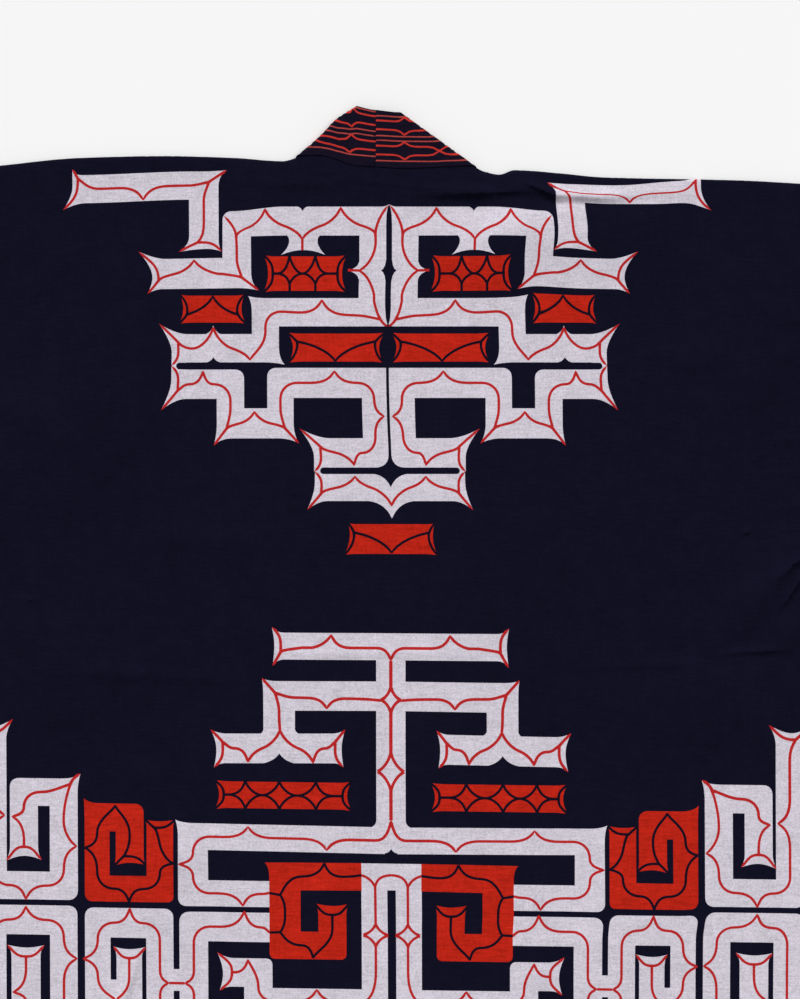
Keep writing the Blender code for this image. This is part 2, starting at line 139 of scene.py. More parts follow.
LEFT_SHOULDER = rows(EdgePoint,
    (-0.645, 0.393), (-0.47, 0.41), (-0.304, 0.427),
    (-0.242, 0.433), (-0.176, 0.4345), (-0.121, 0.433),
    (-0.084, 0.4305), (-0.072, 0.4345),
)
NECK_SEAM = rows(EdgePoint,
    (-0.072, 0.4345), (-0.058, 0.4351), (-0.05, 0.4342),
    (-0.04, 0.4313), (-0.033, 0.4286), (-0.026, 0.4271),
    (-0.011, 0.4262), (0.01, 0.4249), (0.034, 0.4257),
    (0.046, 0.4265), (0.066, 0.427),
)
RIGHT_SHOULDER = rows(EdgePoint,
    (0.066, 0.427), (0.074, 0.4225), (0.085, 0.42), (0.097, 0.4235),
    (0.133, 0.421), (0.164, 0.418), (0.273, 0.4155), (0.32, 0.413),
    (0.47, 0.405), (0.645, 0.393),
)
COLLARS = (
    Collar(side=-1, neck_end=EdgePoint(-0.072, 0.4355), peak=EdgePoint(-0.0262, 0.473),
           start_turn=172.0, follow=0.35, taper=-0.045, taper_length=0.016, bulge=0.0026,
           print_shift=-0.8, print_start=21.0),
    Collar(side=1, neck_end=EdgePoint(0.0665, 0.4270), peak=EdgePoint(0.0094, 0.468),
           start_turn=0.0, follow=0.8, taper=0.022, taper_length=0.024, bulge=0.0,
           print_shift=-4.4, print_start=22.2),
)

# Large folds, which the solids have too: middle, direction in degrees, length, half width and height
FOLDS = (
    Fold(0.085, 0.398, 8, 0.17, 0.012, -0.003),
    Fold(0.15, 0.402, -22, 0.11, 0.014, -0.003),
    Fold(0.15, 0.375, -4, 0.26, 0.034, 0.0042),
    Fold(0.07, 0.36, 4, 0.18, 0.03, 0.003),
    Fold(-0.007, 0.13, 88, 0.42, 0.022, -0.0022),
    Fold(-0.06, 0.13, 90, 0.42, 0.045, 0.0022),
    Fold(0.06, 0.13, 90, 0.42, 0.045, 0.0022),
    Fold(-0.255, 0.22, 38, 0.24, 0.05, 0.0044),
    Fold(-0.19, 0.17, 38, 0.26, 0.03, -0.0022),
    Fold(0.3, 0.105, 52, 0.16, 0.016, 0.0052),
    Fold(0.322, 0.07, 40, 0.12, 0.014, 0.0048),
    Fold(-0.318, 0.085, 132, 0.15, 0.018, 0.0046),
    Fold(0.27, 0.048, 0, 0.17, 0.014, -0.003),
    Fold(0.25, 0.01, 3, 0.26, 0.04, 0.0034),
    Fold(0.285, 0.29, 84, 0.3, 0.04, 0.0034),
    Fold(-0.26, 0.03, 2, 0.26, 0.045, 0.0034),
    Fold(-0.18, -0.12, 84, 0.24, 0.05, 0.003),
    Fold(0.19, -0.15, 96, 0.26, 0.055, 0.0032),
    Fold(-0.12, -0.33, 76, 0.24, 0.045, 0.0034),
    Fold(0.15, -0.36, 98, 0.22, 0.04, 0.0032),
    Fold(0.02, -0.3, 88, 0.28, 0.05, 0.0026),
    Fold(-0.43, 0.3, 12, 0.3, 0.03, 0.004),
    Fold(-0.44, 0.22, 24, 0.26, 0.026, 0.0036),
    Fold(0.44, 0.31, -14, 0.3, 0.03, 0.004),
    Fold(0.43, 0.215, -26, 0.26, 0.026, 0.0036),
)

# Sharper creases, which only the cloth shown here has; the last value narrows the lower flank
CREASES = (
    Fold(0.068, 0.405, 2.5, 0.13, 0.0075, 0.0056, 0.2),
    Fold(0.09, 0.4165, -12, 0.06, 0.005, 0.004, 1.1),
    Fold(0.033, 0.409, -5, 0.09, 0.006, 0.0016, 0.4),
    Fold(0.1165, 0.4085, -25, 0.056, 0.007, 0.0064, 0.26),
    Fold(0.145, 0.4035, -4, 0.1, 0.0085, 0.0066, 0.42),
    Fold(0.195, 0.4055, 3, 0.13, 0.007, 0.0026, 0.55),
    Fold(0.133, 0.419, -8, 0.08, 0.0055, 0.002, 0.7),
    Fold(0.15, 0.393, -4, 0.11, 0.007, 0.0016),
    Fold(0.2775, 0.1412, 31, 0.018, 0.003, 0.0022, 0.4),
    Fold(0.3, 0.1434, 0, 0.06, 0.003, 0.0008, 0.4),
    Fold(0.314, 0.131, 3, 0.03, 0.0025, 0.0008, 0.4),
    Fold(0.316, 0.1175, 42, 0.06, 0.0035, 0.0022, 0.35),
    Fold(0.314, 0.096, 55, 0.066, 0.0035, 0.0022, 0.35),
    Fold(0.283, 0.048, 3, 0.075, 0.0045, 0.003, 0.35),
    Fold(0.256, 0.0452, 1, 0.06, 0.003, 0.001, 0.5),
    Fold(0.314, 0.3045, 3, 0.03, 0.003, 0.0008, 0.4),
    Fold(0.312, 0.2125, 4, 0.06, 0.004, 0.0008, 0.4),
    Fold(0.313, 0.1852, -6, 0.056, 0.004, 0.0008, 0.4),
    Fold(0.312, 0.16, 3, 0.06, 0.004, 0.0008, 0.4),
    Fold(0.232, 0.276, -8, 0.12, 0.012, 0.0022),
    Fold(0.285, 0.256, -50, 0.05, 0.008, 0.0016),
    Fold(0.314, 0.276, -40, 0.05, 0.008, 0.0014),
    Fold(-0.275, 0.23, -40, 0.12, 0.014, 0.0024),
    Fold(-0.235, 0.175, -62, 0.11, 0.014, 0.0022),
    Fold(-0.145, 0.136, -8, 0.16, 0.013, 0.0022),
    Fold(-0.28, 0.0885, -2, 0.022, 0.003, 0.0018, 0.4),
    Fold(-0.19, 0.029, -3, 0.24, 0.007, 0.0014, 0.6),
    Fold(-0.0085, 0.19, 91, 0.34, 0.005, 0.0012, 0.3),
    Fold(-0.0098, 0.03, 90, 0.24, 0.005, 0.0009, 0.4),
    Fold(-0.02, 0.046, 0, 0.2, 0.005, 0.0012, 0.5),
    Fold(0.2, 0.037, 2, 0.18, 0.0045, 0.0012, 0.5),
    Fold(-0.11, 0.31, 84, 0.09, 0.006, 0.0012, 0.6),
    Fold(0.062, 0.305, 95, 0.08, 0.005, 0.0012, 0.6),
    Fold(-0.053, 0.4215, -12, 0.026, 0.004, 0.0016, 0.4),
    Fold(-0.039, 0.4145, -6, 0.02, 0.0035, 0.0014, 0.4),
    Fold(-0.009, 0.4128, -3, 0.034, 0.004, 0.0016, 0.4),
    Fold(0.036, 0.417, -5, 0.026, 0.004, 0.0018, 0.4),
    Fold(0.048, 0.4105, -3, 0.02, 0.0035, 0.0012, 0.4),
    Fold(-0.07, 0.412, -3, 0.11, 0.006, 0.0014, 0.5),
    Fold(-0.03, 0.417, -8, 0.07, 0.005, 0.0012, 0.5),
    Fold(-0.37, 0.33, 20, 0.16, 0.006, 0.0026, 0.5),
    Fold(-0.39, 0.25, 34, 0.14, 0.0055, 0.0026, 0.5),
    Fold(0.375, 0.33, -22, 0.16, 0.006, 0.0026, 0.5),
    Fold(0.395, 0.245, -36, 0.14, 0.0055, 0.0026, 0.5),
    Fold(-0.52, 0.27, 8, 0.15, 0.006, 0.002, 0.5),
    Fold(0.53, 0.265, -10, 0.15, 0.006, 0.002, 0.5),
    Fold(-0.21, -0.23, 70, 0.16, 0.006, 0.0022, 0.5),
    Fold(0.24, -0.26, 104, 0.15, 0.006, 0.0022, 0.5),
    Fold(0.05, -0.4, 82, 0.12, 0.007, 0.002, 0.6),
    Fold(-0.16, -0.11, 12, 0.14, 0.012, 0.0008),
    Fold(0.17, -0.18, -8, 0.16, 0.012, 0.0008),
)

# Inks of the print, each a material slot of the printed cloth; the slot after them is its inner side
NAVY = 0
WHITE = 1
RED = 2
LINE = 3
DARK = 4


# Shapes of the cloth, as the solids have them


def smoothstep(value):
    """Ease from 0 to 1 as value goes from 0 to 1."""
    value = min(1.0, max(0.0, value))
    return value * value * (3.0 - 2.0 * value)


def ramp(value, start, length):
    """Ease from 0 to 1 as value goes on from start by a length."""
    return smoothstep((value - start) / length)


def bump(value, middle, reach, power=2):
    """Rise smoothly to 1 at a middle and fall again beyond it."""
    return math.exp(-((value - middle) / reach) ** power)


def mix(start, end, share):
    return start + (end - start) * share


def chord_slope(points, start, end):
    """Slope of the straight line between two of the points, or None for one point."""
    if start == end:
        return None
    rise = points[end].along - points[start].along
    return rise / (points[end].across - points[start].across)


def curve_height(points, across):
    """Height of the smooth curve through the points, flat at its highs and lows."""
    across = min(points[-1].across, max(points[0].across, across))
    index = 0
    while index < len(points) - 2 and across > points[index + 1].across:
        index += 1
    slopes = []
    for end in (index, index + 1):
        left = chord_slope(points, max(0, end - 1), end)
        right = chord_slope(points, end, min(len(points) - 1, end + 1))
        if left is None or right is None:
            slopes.append(right if left is None else left)
        else:
            slopes.append(0.0 if left * right <= 0.0 else 2.0 * left * right / (left + right))
    start = points[index]
    end = points[index + 1]
    span = end.across - start.across
    share = (across - start.across) / span
    rise = end.along - start.along
    bend = (slopes[0] * span - rise) * (1.0 - share) - (slopes[1] * span - rise) * share
    return start.along + share * rise + share * (1.0 - share) * bend


def top_edge(across):
    """Upper outline of the jacket without its collar."""
    if across <= NECK_SEAM[0].across:
        return curve_height(LEFT_SHOULDER, across)
    if across >= NECK_SEAM[-1].across:
        return curve_height(RIGHT_SHOULDER, across)
    return curve_height(NECK_SEAM, across)


def under_edge(across):
    """Lower outline of a sleeve, from the underarm up to the cuff."""
    share = (abs(across) - HALF_WIDTH) / (CUFF_X - HALF_WIDTH)
    cuff_low = curve_height(RIGHT_SHOULDER, CUFF_X) - CUFF_WIDTH
    return mix(UNDERARM_Y, cuff_low, min(1.0, max(0.0, share)))


def folded_height(folds, across, along):
    """Sum of the folds at a place, tapered to their ends and sides."""
    height = 0.0
    for fold in folds:
        dx = across - fold.across
        dy = along - fold.along
        if dx * dx + dy * dy > (fold.length / 2 + 3.0 * fold.width) ** 2:
            continue
        angle = math.radians(fold.turn)
        lengthwise = dx * math.cos(angle) + dy * math.sin(angle)
        sideways = dy * math.cos(angle) - dx * math.sin(angle)
        end_share = abs(lengthwise) / (fold.length / 2)
        if end_share < 1.0:
            taper = 1.0 - smoothstep(end_share)
            width = fold.width * (fold.lee if sideways < 0.0 else 1.0)
            height += fold.height * taper * math.exp(-(sideways / width) ** 2)
    return height


def edge_distance(across, along):
    """Distance to the nearest soft folded edge: shoulder, side seam or underarm."""
    distance = top_edge(across) - along
    if abs(across) > HALF_WIDTH:
        return min(distance, along - under_edge(across))
    if along < UNDERARM_Y:
        distance = min(distance, HALF_WIDTH - abs(across))
    return distance


def top_height(across, along):
    """Height of the outer side of the cloth that shows, with all its folds."""
    centre = 1.0 - ramp(abs(across), CENTRE_REACH, CENTRE_EASE)
    base = mix(LAYER_TOP, OVER_BAND_TOP, centre)
    edge = 1.0 - smoothstep(edge_distance(across, along) / EDGE_REACH)
    folds = folded_height(FOLDS, across, along) * (1.0 - edge)
    folds += folded_height(CREASES, across, along) * (1.0 - edge * edge)
    swell = (folds + math.sqrt(folds * folds + SOFT_FLOOR * SOFT_FLOOR) - SOFT_FLOOR) / 2
    neck_side = 1.0 - ramp(abs(across), NECK_HALF, CENTRE_EASE)
    neck = neck_side * (1.0 - smoothstep((top_edge(across) - along) / NECK_REACH))
    base = mix(max(base, mix(base, EDGE_TOP, edge)), NECK_TOP, neck)
    return base + swell


def turned_edge(share, amount):
    """How far a strip along an edge goes outwards and down as it turns to the floor."""
    arc = EDGE_RADIUS * math.pi / 2
    travelled = share * EDGE_STRIP
    if amount < FLAT_TURN:
        return travelled, 0.0
    bend_radius = EDGE_RADIUS / amount
    bent = min(travelled, arc)
    angle = bent / bend_radius
    outwards = bend_radius * math.sin(angle)
    down = bend_radius * (1.0 - math.cos(angle))
    straight = max(0.0, travelled - arc)
    return outwards + straight * math.cos(angle), down + straight * math.sin(angle)


def side_turn(along):
    """How far a side edge is turned down: flat at the armhole, full at the side seam."""
    return smoothstep((UNDERARM_Y - along) / UNDERARM_EASE)


def shoulder_turn(across):
    """How far the upper edge is turned down: flat at the neck seam, full beside it."""
    left = NECK_SEAM[0].across - SEAM_GAP - across
    right = across - NECK_SEAM[-1].across - SEAM_GAP
    return smoothstep(max(left, right) / SHOULDER_EASE)


def neck_gap(across):
    """Gap between the back and the band along the neck seam, wider at its corners."""
    left = across - NECK_SEAM[0].across
    right = NECK_SEAM[-1].across - across
    corner = 1.0 - smoothstep(min(left, right) / NECK_CORNER_REACH)
    return mix(SEWN_GAP, NECK_CORNER_GAP, corner)


def even_steps(start, end, step):
    """Evenly spaced places from start to end, about one step apart."""
    count = max(1, round(abs(end - start) / step))
    return [mix(start, end, index / count) for index in range(count + 1)]


def back_start(across):
    """Where the back starts to turn down at its upper edge, in its flat cut."""
    turn = shoulder_turn(across)
    gap = neck_gap(across) * (1.0 - turn)
    return top_edge(across) - gap - turned_edge(1.0, turn)[0]


def back_side(along):
    """Where the back starts to turn down at its sides, in its flat cut."""
    return HALF_WIDTH - turned_edge(1.0, side_turn(along))[0]


def hem_step(inwards):
    """How much a turned hem or cuff stands above the single cloth beside it."""
    return HEM_RISE * (1.0 - ramp(inwards, HEM_DEPTH, HEM_SLOPE))


def back_place(across, along):
    """Place in the laid jacket of a point of the back's flat cut."""
    side = back_side(along)
    amount = 0.0
    down = 0.0
    place_x = across
    column = min(side, max(-side, across))
    if abs(across) > side:
        amount = side_turn(along)
        sideways, down = turned_edge((abs(across) - side) / EDGE_STRIP, amount)
        place_x = math.copysign(side + sideways, across)
    start = back_start(column)
    height = top_height(place_x, min(along, start)) + hem_step(along - HEM_Y)
    place_y = along
    if along > start:
        turn = shoulder_turn(column)
        amount = max(amount, turn)
        outwards, top_down = turned_edge((along - start) / EDGE_STRIP, turn)
        place_y = start + outwards
        down += top_down
        height = mix(height, EDGE_TOP, turn)
    lowest = EDGE_CLEAR + CLOTH * math.cos(amount * math.pi / 2)
    return Vector((place_x, place_y, max(lowest, height * (1.0 - down / EDGE_TOP))))


# Print of the back: bands on centre paths, in millimetres out from the middle and down

PRINT_TOP = 0.4266
PRINT_MIDDLE = -0.0010  # where the print's middle line starts
PRINT_LEAN = 0.0039  # and how it drifts to the right on its way down
PRINT_TILT = 0.0145  # the lower print hangs lower on the right
TILT_START = 244.0
TILT_END = 502.0
DRIFT_REACH = 40.0
DRIFTS = rows(Drift,
    (30.0, 0.2), (73.0, 0.0), (104.0, -1.0), (125.0, -1.0), (159.0, -1.6),
    (195.0, -1.0), (221.0, 0.0), (250.0, 0.7), (274.0, 1.5), (300.0, 0.8),
    (375.0, 0.2), (520.0, -0.2), (600.0, 0.2),
)
# How far the cloth on the right is drawn in towards the middle
RIGHT_PULL = rows(Drift,
    (0.0, 0.022), (25.0, 0.02), (50.0, 0.007), (75.0, 0.018), (100.0, 0.015),
    (150.0, 0.004), (175.0, 0.0), (580.0, 0.0), (600.0, 0.009), (700.0, 0.012),
)
PRESSED_TOP = 9.6  # push of the right shoulder's fold on the print's top edge
PRESSED_LOW = 0.8  # and on what lies below it
CORNER_DROOP = 3.6
OUTER_DROOP = 2.9
RIGHT_DROOP_SHARE = 0.75  # the right corner hangs less
RIGHT_LIFT = 1.5
RIGHT_STRETCH = 1.9
HEM_LIFT = 2.0
LEFT_PULL = 2.1

# Thickness of the printed lines, and its shares where they meet
LINE_WIDTH = 0.00206
BOLD_SHARE = 1.12  # lines on the stem are bolder
DARK_SHARE = 0.97
NEEDLE_SHARE = 0.10  # at the tip of a thorn
CUSP_SHARE = 0.3
JOIN_SHARE = 1.1
THORN_SHARE = 1.15
DIAMOND_SHARE = 1.2
BOW_SHARE = 0.8
BLUNT_REACH = 5.0  # length over which a blunt end finds its full thickness
SHARP_REACH = 2.4

# Reaches of the print's curves, in millimetres
CORNER_RADIUS = 7.0
THORN_REACH = 12.0
TIP_REACH = 8.0
CUSP_REACH = 19.0
END_REACH = 17.0
JOIN_REACH = 3.0
VEIN_TURN = 13.0  # how far from a corner a line leaves the middle of its band
NEAR_CORNER = 16.0  # a cusp this near a corner has its line run straight round it
NEAR_PUSH = 1.5
END_SLANT_ROOM = 24.0  # from this room on, a line slants from a band's end to its cusp
MIDDLE_JOIN = 7.0  # depth at which the lines of an end join, and that of a tab
TAB_JOIN = 3.6
STROKE_GAP = 0.6  # features nearer than this have no line between them
SAME_PLACE = 1e-4
OVERLAP = 1.2  # of a notch into the band that it belongs to
FILLET_OVERLAP = 0.8

# Handles of the print's curves, as shares of the way that they bend along
TIP_SPREAD = 0.9
TIP_START = 0.62
TIP_PULL = 0.16
ROUND_PULL = 0.6
THORN_FOOT = 0.25
CAP_PULL = 0.55
CUSP_AWAY = 0.45
CUSP_ALONG = 0.12
CUSP_TRAIL = 0.32
SET_LEAD = 0.35
PLAIN_LEAD = 0.3
SLANT_TRAIL = 0.45
SLANT_BIAS = 1.2
SLANT_LIMIT = 1.25
TURN_ROOM = 0.62
TURN_PULL = 0.58
NEAR_PULL = 0.9
THORN_JOIN = 0.22
NOTCH_FOOT = 0.3
NOTCH_RISE = 0.08
FILLET_PULL = 0.55
DIAMOND_PULL = 0.42

Corner = namedtuple("Corner", "shape tip vein join radius reach",
                    defaults=(None, False, None, CORNER_RADIUS, 12.0))
End = namedtuple("End", "first second vein depth lean", defaults=(5.0, 0.21))
Join = namedtuple("Join", "out down reach")
Cusp = namedtuple("Cusp", "part at to reach", defaults=(CUSP_REACH,))
Band = namedtuple("Band", "path widths corners start end cusps mirrored line foot",
                  defaults=((), False, None, 0.0))
Bow = namedtuple("Bow", "ends top low flare cusp_out cusp_down level")
Nick = namedtuple("Nick", "ink out down turn height half")
Diamond = namedtuple("Diamond", "out down half_out half_down")
Patch = namedtuple("Patch", "out down far_out far_down")
Fillet = namedtuple("Fillet", "out down to_out to_down")
Slot = namedtuple("Slot", "end far upper lower")
Station = namedtuple("Station", "down half")

SQUARE = Corner("square")
ROUND = Corner("round")
WIDE = Corner("round", radius=10.0)
TIGHT = Corner("round", radius=4.5)
TAB_END = End((1.0, 3.6), (1.2, 3.8), "middle")
PLAIN_END = End((3, 3), (3, 3), "middle")


def thorn(out, down, vein=True):
    return Corner("thorn", (out, down), vein)


# An end's first tip is the one nearer the top or the middle of the jacket. Each tip gives its
# reach to the side and onwards, and each cusp its part of the path and the values of a Cusp.
WHITE_BANDS = (
    Band(((246.4, 15.2), (144.2, 15.2), (144.2, 64.5)), (21.8, 23), (thorn(126.3, 3.2),),
         End((4.4, 0), (5.2, 7.3), "first", 4.2, 0.38), End((2.3, 2), (8.5, 2.3), "second"),
         ((0, 191.4, 25.5),)),
    Band(((186.5, 84.3), (118.6, 83.3), (118.6, 43), (13, 43), (13, 114), (96.5, 114), (96.5, 142),
          (170, 142)),
         (23.4, 22, 22.5, 20.2, 22, 21, 22),
         (thorn(101.5, 97), Corner("round", (128.4, 35.4), True, (119, 53.5)),
          Corner("square", (0.5, 30.5), True, (10.7, 52.5)), Corner("square", (0.3, 125), True, (5.6, 119.6)),
          thorn(109.7, 101.5, False), thorn(81.6, 154.8, False)),
         End((6, 10), (3.4, 4), "second"), End((8, 11), (2.5, 0), "first"),
         ((0, 152, 73), (2, 96.5, 32.2), (2, 67.5, 57.6), (2, 37.6, 32), (3, 81.5, 23.5),
          (4, 52.3, 104.1), (6, 108.6, 151.5), (6, 137.2, 125.5)),
         line=((186.5, 84), (118.6, 84), (118.6, 46.6), (10.9, 46.6), (10.9, 117.2), (96.5, 112.9),
               (96.5, 142), (170, 142))),
    Band(((170, 170), (124, 170), (124, 200.5), (85, 200.5), (85, 169), (10.8, 169), (10.8, 223.5),
          (59, 223.5)),
         (22.8, 21.4, 23.4, 20.5, 23.4, 19.4, 22.8),
         (ROUND, thorn(137.1, 217.6), thorn(70.7, 216.1), ROUND, SQUARE, WIDE),
         End((2.8, 0), (8.8, 8), "second"), End((7.4, 11), (3.4, 0), "first"),
         ((0, 145.3, 159.5), (2, 105.3, 191), (4, 42.4, 159.5), (5, 195, 3), (6, 27.9, 233.5))),
    Band(((0, 250.5), (58.5, 250.5)), (21,), (), None, End((1.7, -0.2), (6.8, 6), "second"),
         ((0, 27.5, 241.5), (0, 0, 265, 24))),
    Band(((0, 374.5), (90.5, 374.5)), (21,), (), None, End((4.2, 1.8), (5, 1.4), "second"),
         ((0, 0, 385.5, 11), (0, 46.3, 365.2, 15)), line=((0, 375.6), (90.5, 375.6))),
    Band(((0, 413), (87, 413.5), (87, 447)), (22.9, 24.5), (thorn(100.3, 399.8),), Join(7.4, 416.4, 30),
         Join(86.4, 440.2, 24), ((0, 49.9, 423.5, 15),), line=((0, 415.6), (87, 414.6), (87, 447))),
    Band(((136, 455.2), (38.4, 454.1)), (23.2,), (), End((3.1, 4.2), (3.4, 2.1), "first"),
         End((3, 3), (3, 1.2), "first"),
         ((0, 111.4, 466), (0, 86.4, 439.8, 24), (0, 60.7, 466))),
    Band(((0, 525.6), (154.5, 524.3), (154.5, 568.5), (94.7, 568.5)), (20.8, 23.4, 20.3),
         (thorn(168.2, 511.4, False), Corner("round", radius=6.5)), None, Join(94.7, 567.5, 10),
         ((0, 0, 509.7, 12), (0, 50.3, 534), (0, 111.6, 516), (1, 546, 166.0), (2, 115.8, 578.3))),
    Band(((94.8, 594.5), (154.2, 594.5), (154.2, 700)), (22.9, 22.3), (Corner("round", radius=8),),
         Join(94.7, 598.5, 10), PLAIN_END, ((0, 114.6, 581.8), (1, 639, 161.5, 10))),
    Band(((180.6, 700), (180.6, 592.5), (229, 592.5), (229, 648), (204.5, 648), (204.5, 613)),
         (21.2, 23.2, 19.9, 22, 19.9), (ROUND,) * 4,
         PLAIN_END, End((3, 2), (2.4, 2), "middle"),
         ((0, 639, 173.5, 10), (1, 203.9, 580.6), (2, 621, 240.6), (3, 215, 653))),
    Band(((255.5, 700), (255.5, 591.3), (311, 591.3), (311, 668), (285, 668), (285, 613)),
         (21.4, 22.9, 21.5, 22, 22.6), (ROUND,) * 4,
         PLAIN_END, End((3, 2), (3.2, 2), "middle"),
         ((0, 621, 245), (1, 285, 580.6), (3, 299, 677), (4, 648, 295.5))),
    Band(((310.6, 440.5), (310.6, 564.5), (255.2, 564.5), (255.2, 491.5), (286.2, 491.5), (286.2, 541.5)),
         (21.8,) * 5,
         (ROUND, Corner("round", radius=7.5),
          Corner("thorn", (242, 476.5), True, (249.8, 485.0), reach=24.0), ROUND),
         End((5.2, 6.5), (3, 4), "second"), End((2.8, 3), (3, 4), "middle"),
         ((0, 510, 301), (1, 285, 575.7), (2, 533.5, 245), (4, 511, 295.6))),
    Band(((131.5, 629.8), (104, 629.8), (104, 652.2), (12, 652.2)), (22.3, 22.1, 21.3),
         (Corner("round", radius=5), ROUND), End((4.1, 4.4), (3.2, 2.6), "middle"), None,
         ((0, 112, 619.5), (2, 58.5, 642))),
    Band(((0, 553.8), (13.4, 553.8), (13.4, 652.5)), (20.8, 20.2), (SQUARE,), None, None, None),
)

RED_BANDS = (
    Band(((180.2, 513), (180.2, 565.8), (229.2, 566), (229.2, 510.5), (203.7, 510.5), (203.7, 545.5)),
         (20.7, 20.3, 19.5, 21.8, 21.8),
         (TIGHT, Corner("round", radius=6), thorn(239.5, 495.9, False), ROUND),
         End((1.2, 1.4), (0.8, 1.2), "second"), End((1.6, 1.6), (1.2, 2.6), "second"),
         ((0, 545.5, 169.7), (1, 204.4, 576.3), (2, 534.5, 238.8), (3, 215, 501.2))),
    Band(((23.3, 554), (83, 554.5), (83, 608), (46.2, 608), (46.2, 577)),
         (21.4, 24.2, 21.5, 21.8), (thorn(98.8, 543.9, False), TIGHT, TIGHT), Join(23.4, 552.8, 20),
         End((2.2, 2), (3, 2), "middle"),
         ((0, 52.2, 543.8), (1, 569, 87, 12), (1, 598, 87, 12), (2, 61.3, 617.8))),
    Band(((94.2, 83.9), (36.5, 83.9)), (26.8,), (), TAB_END, TAB_END,
         ((0, 77.5, 69.9, 10.2), (0, 57.4, 69.9, 10.2)), True, foot=6.0),
    Band(((134, 491.4), (34.2, 491.4)), (20.9,), (), TAB_END, TAB_END,
         ((0, 113.6, 480.5, 13.6), (0, 87.1, 480.5, 13.6), (0, 58.5, 480.5, 14)), True),
)

BOWS = rows(Bow,
    ((160.9, 115.1), 101.0, 122.0, (2.8, 3.4), 137.4, 101.3, 115.6),
    ((75.0, 6.8), 130.6, 152.4, (4.4, 3.8), 41.7, 152.2, 136.8),
)
MIDDLE_BOW = Bow((32.6, -32.0), 279.0, 302.2, (1.2, 4.2), 0.3, 301.4, 285.6)

WHITE_PATCHES = rows(Patch,
    (158, 151, 169.6, 161),
    (50, 233, 58.2, 243),
    (-0.5, 32, 4, 123.5),
    (-0.5, 374, 11.4, 526),
    (163, 628, 172, 645),
)

FILLETS = rows(Fillet,
    (99.2, 443.6, 3.8, -4.5),
    (74.8, 443.0, -4.2, -4.5),
    (11.4, 515.6, 6, -6),
    (165.2, 634, 4, -4),
)

NICKS = rows(Nick,
    (NAVY, 67.2, 31.4, 180, 3.8, 5.5),
    (NAVY, 137.2, 153.3, 0, 4.4, 7.5),
    (WHITE, 137.2, 131.4, 0, 7.0, 8.0),
    (WHITE, 23.5, 81.5, 90, 8.6, 6.5),
    (NAVY, 87, 466.9, 0, 8.3, 17.0),
    (NAVY, 0, 239.8, 180, 10.5, 14.0),
    (WHITE, 0, 261.0, 180, 13.5, 18.0),
    (NAVY, 0, 535.3, 0, 3.6, 5.0),
    (WHITE, 0, 32.1, 0, 2.2, 9.0),
)

SLIT_HALF = 2.3
SLIT = rows(Station,
    (30.0, 0.1), (33.0, 1.3), (38.0, 2.0), (46.0, SLIT_HALF),
    (73.0, SLIT_HALF), (77.5, 3.2), (80.2, 4.6), (81.5, 6.2),
    (82.8, 4.6), (85.5, 3.2), (90.0, SLIT_HALF), (110.0, SLIT_HALF),
    (118.5, 1.7), (125.0, 0.2),
)
SLOTS = (Slot(166.4, 150.0, 153.2, 158.5), Slot(54.4, 40.0, 234.9, 240.0))
STUB_OUT = 66.7
STUB_TOP = 53.2
STUB_HALF = 14.8
STUB_MOUTH = 69.3
STEM_DOWN = (355.0, 510.0)
MIDDLE_DIAMONDS = (Diamond(0, 415.9, 7.4, 9.8), Diamond(0, 471.8, 10.3, 14.5))
GATE_DIAMOND = Diamond(12.6, 599.3, 9.6, 8.4)


def pressed(out, down):
    """How far the right shoulder's print is pushed down by the fold above it."""
    top = PRESSED_TOP - 2.6 * ramp(out, 185.0, 60.0) - 3.0 * ramp(out, 232.0, 14.0)
    top += 1.3 * bump(out, 178.0, 30.0)
    low = PRESSED_LOW + 2.8 * bump(out, 193.0, 46.0, 4) + 2.6 * ramp(out, 228.0, 20.0)
    push = mix(top, low, ramp(down, 5.0, 21.0))
    return ramp(out, 100.0, 25.0) * push * (1.0 - ramp(down, 28.0, 20.0))


def drooped(side, out, down):
    """How far the print's outer corners hang below a straight line."""
    corner = CORNER_DROOP * ramp(out, 82.0, 40.0) * (1.0 - ramp(out, 129.5, 4.0))
    corner *= bump(down, 34.0, 17.0)
    if side > 0:
        lifted = RIGHT_LIFT * bump(out, 116.0, 24.0)
        lifted = lifted * ramp(down, 56.0, 10.0) * (1.0 - ramp(down, 108.0, 16.0))
        return RIGHT_DROOP_SHARE * corner - lifted
    return corner + OUTER_DROOP * ramp(out, 150.0, 95.0) * (1.0 - ramp(down, 45.0, 15.0))


def print_place(side, out, down):
    """Place on the back's flat cut, in millimetres, of a point of the print."""
    shift = drooped(side, out, down)
    if side > 0:
        shift += pressed(out, down)
        out *= 1.0 - curve_height(RIGHT_PULL, down)
        out += RIGHT_STRETCH * ramp(out, 205.0, 32.0) * (1.0 - ramp(down, 45.0, 15.0))
        shift -= HEM_LIFT * ramp(out, 225.0, 30.0) * ramp(down, 420.0, 20.0)
    else:
        out -= LEFT_PULL * ramp(out, 150.0, 40.0) * bump(down, 100.0, 48.0, 4)
    down += shift
    across = side * out
    middle = PRINT_MIDDLE / MM + PRINT_LEAN * down
    middle += curve_height(DRIFTS, down) * bump(out, 0.0, DRIFT_REACH)
    tilt = PRINT_TILT * min(1.0, max(0.0, (down - TILT_START) / (TILT_END - TILT_START)))
    return Vector((middle + across, PRINT_TOP / MM - down - tilt * across))


def bend(start, control, end, count=7):
    """Points of a curve with one control point, without its start."""
    points = []
    for step in range(1, count + 1):
        share = step / count
        points.append(start.lerp(control, share).lerp(control.lerp(end, share), share))
    return points


